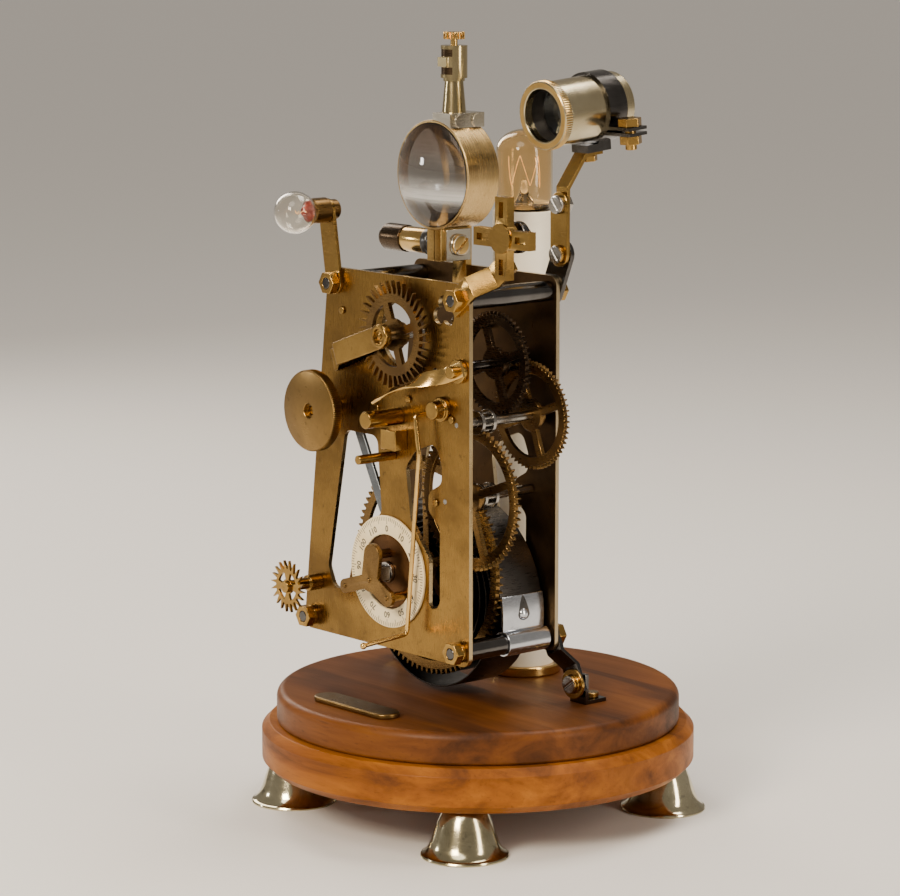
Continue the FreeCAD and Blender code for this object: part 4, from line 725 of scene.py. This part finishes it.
# small lens inside the barrel, on the barrel's own tilted axis
barrel = {"tilt": 5.0, "lens": 10.85, "front": -0.6, "rise": 1.6, "rear": 0.5, "rearRise": 0.9,
          "lining": 10.86, "wall": 0.4, "span": (-8.0, 22.0)}
tilt = math.radians(barrel["tilt"])
barrelAxis = np.array([0, math.cos(tilt), math.sin(tilt)])
lensMiddle, _ = heart("barrel_lens")
profile = np.concatenate([capProfile(barrel["lens"], barrel["rise"], barrel["front"], -1),
                          capProfile(barrel["lens"], barrel["rearRise"], barrel["rear"], 1)[::-1]])
smallLens = turnedPiece("barrelLens", profile * mm, lensMiddle, barrelAxis, 64)
settle(smallLens, "barrel_lens", "lensGlass", "barrel_lens")
near, far = barrel["span"]
inside = barrel["lining"] - barrel["wall"]
lining = [(barrel["lining"], near), (barrel["lining"], far), (inside, far), (inside, near)]
sleeve = turnedPiece("barrelLining", np.asarray(lining) * mm, lensMiddle, barrelAxis, 64, True)
settle(sleeve, "lens_barrel", "blackPaint", slotNode="clamp_band")

# knurled rim round the barrel's mouth
mouth = {"start": -10.55, "end": -6.75, "bore": 10.6, "lip": 12.5, "shoulder": 12.95, "grip": 13.08,
         "foot": 12.6, "ease": 0.3, "lead": 0.7, "fall": 0.4, "knurls": 90, "bite": 0.18}
start, end = mouth["start"], mouth["end"]
ring = [(mouth["bore"], start, 0), (mouth["lip"], start, 0), (mouth["shoulder"], start + mouth["ease"], 0),
        (mouth["grip"], start + mouth["lead"], 1), (mouth["grip"], end - mouth["fall"], 1),
        (mouth["shoulder"], end, 0), (mouth["foot"], end, 0), (mouth["bore"], end, 0)]
grip = knurledPiece("barrelKnurl", ring, lensMiddle, barrelAxis, mouth)
settle(grip, "lens_barrel", "brightBrass")
print("lenses done")


# tubular bulb: a thin glass tube with a round crown, a pressed stem and a zigzag wire
bulb = {"wall": 0.7, "foot": 2.6, "waist": 2.4, "dome": 0.78, "wire": 0.16, "reach": 6.2, "peaks": 7,
        "wireFoot": 8.625, "swing": 12.5, "sweep": 270.0,
        "stemLine": [(0, 0.9), (4.4, 0.9), (3.4, 4.0), (1.6, 7.0), (1.2, 11.5), (0, 12.1)],
        "capLine": [(0, -14.5), (6.5, -14.5), (6.8, -12), (6.8, 0), (0, 0)]}


# outline of a tube with a shoulder at the foot and a domed crown
def bulbOutline(radius, high, spec):
    turn = np.linspace(0, math.pi / 2, 14)
    dome = radius * spec["dome"]
    crown = np.stack([radius * np.cos(turn), high - dome + dome * np.sin(turn)], 1)
    share = np.linspace(0, 1, 7)
    shoulder = np.stack([radius - spec["waist"] * (1 - np.sin(share * math.pi / 2)), spec["foot"] * share], 1)
    return np.concatenate([[(0.0, 0.0)], shoulder, crown])


middle, half = heart("bulb_glass")
base = np.array([middle[0], middle[1], middle[2] - half[2]])
radius, high = half[0] / mm, 2 * half[2] / mm
outer = bulbOutline(radius, high, bulb)
inner = bulbOutline(radius - bulb["wall"], high - 2 * bulb["wall"], bulb)[::-1] + [0, bulb["wall"]]
outerGlass = turnedPiece("outerGlass", outer * mm, base, (0, 0, 1), 72)
innerGlass = turnedPiece("innerGlass", inner * mm, base, (0, 0, 1), 72)
innerGlass.data.flip_normals()
settle(joined("bulbGlass", [outerGlass, innerGlass]), "bulb_glass", "amberGlass", "bulb_glass")
stem = turnedPiece("bulbStem", eased(bulb["stemLine"], 1.2, 5) * mm, base, (0, 0, 1), 36)
cap = turnedPiece("bulbCap", np.array(bulb["capLine"]) * mm, base, (0, 0, 1), 48)
settle(stem, "bulb_core", "globeGlass")
settle(cap, "bulb_core", "brightBrass", "bulb_core")
share = np.linspace(0, 1, bulb["peaks"] * 14)
swing = np.abs(((share * bulb["peaks"]) % 2) - 1)
turn = share * math.radians(bulb["sweep"])
zigzag = np.stack([bulb["reach"] * np.cos(turn), bulb["reach"] * np.sin(turn),
                   bulb["wireFoot"] + swing * bulb["swing"]], 1)
# the zigzag wire glows by painted emission, a painted highlight, though the bulb is unlit
paintedFilament = wirePiece("hotWire", base + zigzag * mm, bulb["wire"] * mm, 6)
settle(paintedFilament, "bulb_core", "hotWire")
print("bulb done")


# globe lamp: a thin sphere open at its neck, a dark red base and a short wire loop
globe = {"radius": 8.25, "wall": 0.5, "neck": 0.62,
         "loop": 2.4, "loopFoot": 3.2, "loopHigh": 3.4, "wave": 0.6, "wire": 0.14,
         "baseLine": [(0, -3.4), (1.6, -3.2), (2.6, -1.6), (4.3, -0.4), (4.3, 0), (0, 0)]}
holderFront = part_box("globe_holder")[0][1]
globeLow, globeHigh = (np.array(corner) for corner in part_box("globe_glass"))
globeHeart = np.array([(globeLow[0] + globeHigh[0]) / 2, globeLow[1] + globe["radius"] * mm,
                       (globeLow[2] + globeHigh[2]) / 2])
polar = np.linspace(0, math.pi - globe["neck"], 30)
outside = np.stack([np.sin(polar), -np.cos(polar)], 1) * globe["radius"]
inside = np.stack([np.sin(polar), -np.cos(polar)], 1)[::-1] * (globe["radius"] - globe["wall"])
shell = turnedPiece("globeShell", np.concatenate([outside, inside]) * mm, globeHeart, (0, 1, 0), 64)
settle(shell, "globe_glass", "globeGlass", "globe_glass")
seat = (holderFront - globeHeart[1]) / mm
baseLine = eased(np.asarray(globe["baseLine"]) + [0, seat], 0.6, 4)
red = turnedPiece("globeBase", baseLine * mm, globeHeart, (0, 1, 0), 40)
settle(red, "globe_holder", "redBase")
turn = np.linspace(0, math.pi, 30)
loop = np.stack([globe["loop"] * np.cos(turn), seat - globe["loopFoot"] - globe["loopHigh"] * np.sin(turn),
                 globe["wave"] * np.sin(turn * 4)], 1)
# the wire loop glows by painted emission, a painted highlight
paintedGlow = wirePiece("globeWire", globeHeart + loop * mm, globe["wire"] * mm, 6)
settle(paintedGlow, "globe_holder", "hotWire")
print("globe done")


# slotted screws on the block, the joints, the lugs and the lens ears: radius and height, turn and place
screws = {"block": (2.65, 0.8), "blockRows": ((0.27, 0.9), (0.78, 0.2)), "blockDrop": 3.0,
          "joint": (3.3, 0.55), "jointTurn": 0.7,
          "lug": (3.4, 0.5), "lugTurn": 2.2, "lugInset": 4.5, "lugStand": 4.8, "lugHigh": 57.0,
          "ear": (4.2, 1.15), "earTurn": 0.75, "earSink": 1.0}


# each row holds a head's place, axis, size, slot turn, node and finish
def screwRows(spec):
    rows = []
    low, high = (np.array(corner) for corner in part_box("stem_block"))
    for share, turn in spec["blockRows"]:
        place = (high[0] - spec["block"][1] * mm, low[1] + share * (high[1] - low[1]),
                 high[2] - spec["blockDrop"] * mm)
        rows.append((place, (1, 0, 0), spec["block"], turn, "stem_block", "plainNickel"))
    low, high = (np.array(corner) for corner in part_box("arm_link"))
    middle, width = (low[0] + high[0]) / 2, (high[0] - low[0]) / 2
    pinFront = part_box("elbow_pin")[0][1]
    for level, node in ((high[2] - width, "elbow_pin"), (low[2] + width, "lug_screws")):
        place = (middle, pinFront, level)
        rows.append((place, (0, -1, 0), spec["joint"], spec["jointTurn"], node, "brightSteel"))
    low, high = (np.array(corner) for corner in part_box("angle_feet"))
    for across in (low[0] + spec["lugInset"] * mm, high[0] - spec["lugInset"] * mm):
        place = (across, low[1] - spec["lugStand"] * mm, spec["lugHigh"] * mm)
        rows.append((place, (0, -1, 0), spec["lug"], spec["lugTurn"], "lug_screws", "brightSteel"))
    middle, half = heart("ear_screw")
    place = (middle[0] + half[0] - spec["earSink"] * mm, middle[1], middle[2])
    rows.append((place, (1, 0, 0), spec["ear"], spec["earTurn"], "ear_screw", "brightBrass"))
    return rows


for k, (place, axis, (radius, high), turn, node, material) in enumerate(screwRows(screws)):
    head = slottedHead("screwHead%02d" % k, place, axis, radius * mm, high * mm, turn)
    settle(head, node, material)
print("screws done")


# side knob: a dark domed end, a bright waist and a black collar, as radius and place along one axis
knob = {"end": [(0, -47.0), (2.5, -47.0), (2.8, -46.1), (4.6, -46.0), (5.4, -44.6), (5.4, -33.2), (0, -33.2)],
        "waist": [(0, -33.2), (5.0, -33.2), (5.0, -20.0), (0, -20.0)],
        "collar": [(0, -20.0), (5.38, -20.0), (5.38, -17.0), (5.0, -16.6), (5.0, -12.0), (0, -12.0)]}
knobMiddle, _ = heart("side_knob")
knobPlace = (0, knobMiddle[1], knobMiddle[2])
for name, line, material, replaced in (("knobEnd", "end", "blackWheel", ["side_knob"]),
                                       ("knobWaist", "waist", "brightBrass", []),
                                       ("knobCollar", "collar", "blackPaint", [])):
    turned = turnedPiece(name, eased(knob[line], 0.4, 4) * mm, knobPlace, (1, 0, 0), 48)
    settle(turned, "side_knob", material, *replaced)

# collet on the cock: a raised ring round the escape pivot
escapeMiddle, _ = heart("escape_wheel")
collet = [(0, 1.0), (1.0, 1.0), (1.1, 0.4), (2.7, 0.4), (2.9, 1.6), (4.2, 1.6), (4.6, 1.2), (4.6, -0.2)]
spot = (escapeMiddle[0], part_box("escape_cock")[0][1], escapeMiddle[2])
boss = turnedPiece("cockCollet", eased(collet, 0.25, 3) * mm, spot, (0, -1, 0), 56)
settle(boss, "escape_cock", "fittingBrass")

# dark core seen through the valve's slots, and a dark pane on each slot as painted shade
valve = {"x": -6.0, "y": -7.4, "core": 4.3, "low": 290.6, "high": 301.6, "skin": 5.23,
         "bearings": (-112, -48), "panes": ((291.2, 294.0), (298.1, 300.9))}
coreLine = [(0, valve["low"]), (valve["core"], valve["low"]),
            (valve["core"], valve["high"]), (0, valve["high"])]
stemPlace = (valve["x"] * mm, valve["y"] * mm, 0)
core = turnedPiece("valveCore", np.asarray(coreLine) * mm, stemPlace, (0, 0, 1), 40)
settle(core, "valve_stem", "blackWheel")
around = np.radians(np.linspace(*valve["bearings"], 12))[None, :]
for k, pane in enumerate(valve["panes"]):
    curve = np.broadcast_arrays(valve["x"] + valve["skin"] * np.cos(around),
                                valve["y"] + valve["skin"] * np.sin(around), np.array(pane)[:, None])
    # painted shade: a thin dark pane over the slot's opening
    slot = meshPiece("valveShadePane%d" % k, np.stack(curve, -1) * mm, gridFaces(2, 12, False, False))
    settle(slot, "valve_stem", "blackWheel")
print("knob, collet and core done")


# bent strap: a ribbon that leaves the stud flat, rises off the plate and turns its face upward
strap = {"root": (39.9, 0, 183.5), "long": 43.0, "start": -4.5, "bearing": 200.5, "off": 2.5, "stand": 6.0,
         "lifting": (4.0, 20.0), "twist": 62.0, "twisting": (8.0, 22.0), "thick": 1.0, "wide": 6.0,
         "crown": 0.25, "tip": 0.6, "narrowing": 20.0, "sag": 1.4, "sagFrom": 6.0, "steps": 60}


# smooth step: three squares less two cubes of the clipped share
def smoothStep(value, low, high):
    share = np.clip((value - low) / (high - low), 0, 1)
    return share * share * (3 - 2 * share)


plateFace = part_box("front_plate")[0][1] / mm
far = np.linspace(strap["start"], strap["long"], strap["steps"])
bearing = math.radians(strap["bearing"])
run = np.array([math.cos(bearing), 0, math.sin(bearing)])
rise = np.array([run[2], 0, -run[0]])
bow = np.clip((far - strap["sagFrom"]) / (strap["long"] - strap["sagFrom"]), 0, 1)
wave = strap["sag"] * np.sin(bow * math.pi)
path = np.array(strap["root"]) + far[:, None] * run + wave[:, None] * rise
path[:, 1] = plateFace - strap["off"] - strap["stand"] * smoothStep(far, *strap["lifting"])
twist = np.radians(strap["twist"]) * smoothStep(far, *strap["twisting"])
taper = 1 - (1 - strap["tip"]) * smoothStep(far, strap["narrowing"], strap["long"])
inward = np.array([0, 1.0, 0])
across = (np.cos(twist)[:, None] * rise + np.sin(twist)[:, None] * inward) * taper[:, None]
facing = np.cos(twist)[:, None] * -inward + np.sin(twist)[:, None] * rise
section = stripSection(strap["wide"], strap["thick"], strap["crown"], 3)
ribbon = sweptPiece("bentStrap", path * mm, across, facing, section * mm, 45.0)
settle(ribbon, "strap_lever", "brightBrass", "strap_lever")

# hook's rivet and above it a dark drop-shaped sheet, painted shade standing for a slot, both on the tongue's
# outer face
hook = {"up": 4.2, "slot": 7.0, "wide": 2.9, "round": 0.36, "point": 1.3, "lift": 0.04,
        "rivet": 2.3, "high": 1.3, "outside": 1.25}
tailTop, tailReach, tailStop = tailCircle(coil, coilCenter)


# point on the tongue: the tail's circle, swollen to its outer face, at an arc length above the end
def tonguePoint(up, aside, lift):
    turn = tailStop - up / tailReach
    radius = tailReach + hook["outside"] + lift
    x = axleMiddle[0] / mm + np.sin(turn) * radius
    z = axleMiddle[2] / mm + tailTop - tailReach + np.cos(turn) * radius
    return np.stack(np.broadcast_arrays(x, springMiddle[1] / mm + aside, z), -1)


# the drop is half an ellipse below and narrows to a point above
share = np.linspace(-hook["round"], 1, 28)[:, None]
belly = np.sqrt(np.clip(1 - (share / hook["round"]) ** 2, 0, 1))
point = np.sqrt(1 - np.clip(share, 0, 1)) ** hook["point"]
aside = np.linspace(-1, 1, 9)[None, :] * np.where(share < 0, belly, point) * hook["wide"]
drop = tonguePoint(hook["up"] + share * hook["slot"], aside, hook["lift"])
settle(meshPiece("hookSlotShade", drop * mm, gridFaces(28, 9, False, False)), "mainspring_hook", "blackPaint")
turn = np.linspace(0, math.pi / 2, 8)
dome = np.stack([np.sin(turn) * hook["rivet"], np.cos(turn) * hook["high"]], 1)
seat = tonguePoint(np.array(hook["up"]), 0.0, 0.0)
rivetTurn = tailStop - hook["up"] / tailReach
rivet = turnedPiece("hookRivet", dome * mm, seat * mm, (math.sin(rivetTurn), 0, math.cos(rivetTurn)), 28)
settle(rivet, "mainspring_hook", "blueSteel")
print("strap and hook done")


# floor, light and camera
wideFloor = 30.0
corners = np.array([(-1, -1, 0), (1, -1, 0), (1, 1, 0), (-1, 1, 0)]) * wideFloor
floor = meshPiece("floor", corners, [[0, 1, 2, 3]])
floorMaterial, _, floorShader, _ = startMaterial("paleFloor")
floorShader.inputs["Base Color"].default_value = (0.78, 0.76, 0.73, 1.0)
floorShader.inputs["Roughness"].default_value = 0.6
floor.data.materials.append(floorMaterial)

# each lamp's place, aim, width and height, power and colour
middleAim = (0, 0, 0.16)
lamps = {
    "keyLight": ((0.35, -1.15, 0.8), middleAim, (0.4, 0.4), 21.0, (1.0, 0.86, 0.68)),
    "leftLight": ((-0.9, 0.2, 0.75), middleAim, (0.3, 0.9), 6.0, (1.0, 0.9, 0.78)),
    "rightLight": ((1.2, 0.25, 0.45), middleAim, (0.22, 0.9), 8.0, (1.0, 0.88, 0.74)),
    "topLight": ((0.1, 0.4, 1.2), middleAim, (0.7, 0.4), 10.0, (1.0, 0.92, 0.82)),
    "glintLight": ((-0.86, -0.74, 0.36), (-0.009, -0.018, 0.252), (0.1, 0.1), 1.2, (1.0, 0.97, 0.92)),
}
for name, (place, aim, size, power, color) in lamps.items():
    lamp = bpy.data.lights.new(name, "AREA")
    lamp.shape = "RECTANGLE"
    lamp.size, lamp.size_y = size
    lamp.energy = power
    lamp.color = color
    holder = bpy.data.objects.new(name, lamp)
    holder.location = place
    holder.rotation_euler = (Vector(aim) - Vector(place)).to_track_quat("-Z", "Y").to_euler()
    bpy.context.scene.collection.objects.link(holder)

sky = {"sun": 0.9, "soft": 30.0, "toward": (-0.25, 0.55, -0.8), "sunColor": (1.0, 0.94, 0.86),
       "fill": 0.3, "fillColor": (1.0, 0.9, 0.78, 1.0)}
daylight = bpy.data.lights.new("daylight", "SUN")
daylight.energy = sky["sun"]
daylight.angle = math.radians(sky["soft"])
daylight.color = sky["sunColor"]
daylightHolder = bpy.data.objects.new("daylight", daylight)
daylightHolder.rotation_euler = Vector(sky["toward"]).to_track_quat("-Z", "Y").to_euler()
bpy.context.scene.collection.objects.link(daylightHolder)
world = bpy.data.worlds.new("studio")
world.use_nodes = True
backdrop = world.node_tree.nodes["Background"]
backdrop.inputs["Color"].default_value = sky["fillColor"]
backdrop.inputs["Strength"].default_value = sky["fill"]
bpy.context.scene.world = world

view = {"place": (1.0368, -0.9068, 0.376), "bearing": 49.288, "pitch": 9.542, "lens": 141.9}
cameraData = bpy.data.cameras.new("camera")
cameraData.lens = view["lens"]
cameraData.sensor_width = 36.0
cameraData.clip_end = 20.0
camera = bpy.data.objects.new("camera", cameraData)
camera.location = view["place"]
camera.rotation_euler = (math.radians(90 - view["pitch"]), 0, math.radians(view["bearing"]))
bpy.context.scene.collection.objects.link(camera)
bpy.context.scene.camera = camera
print("stage done")
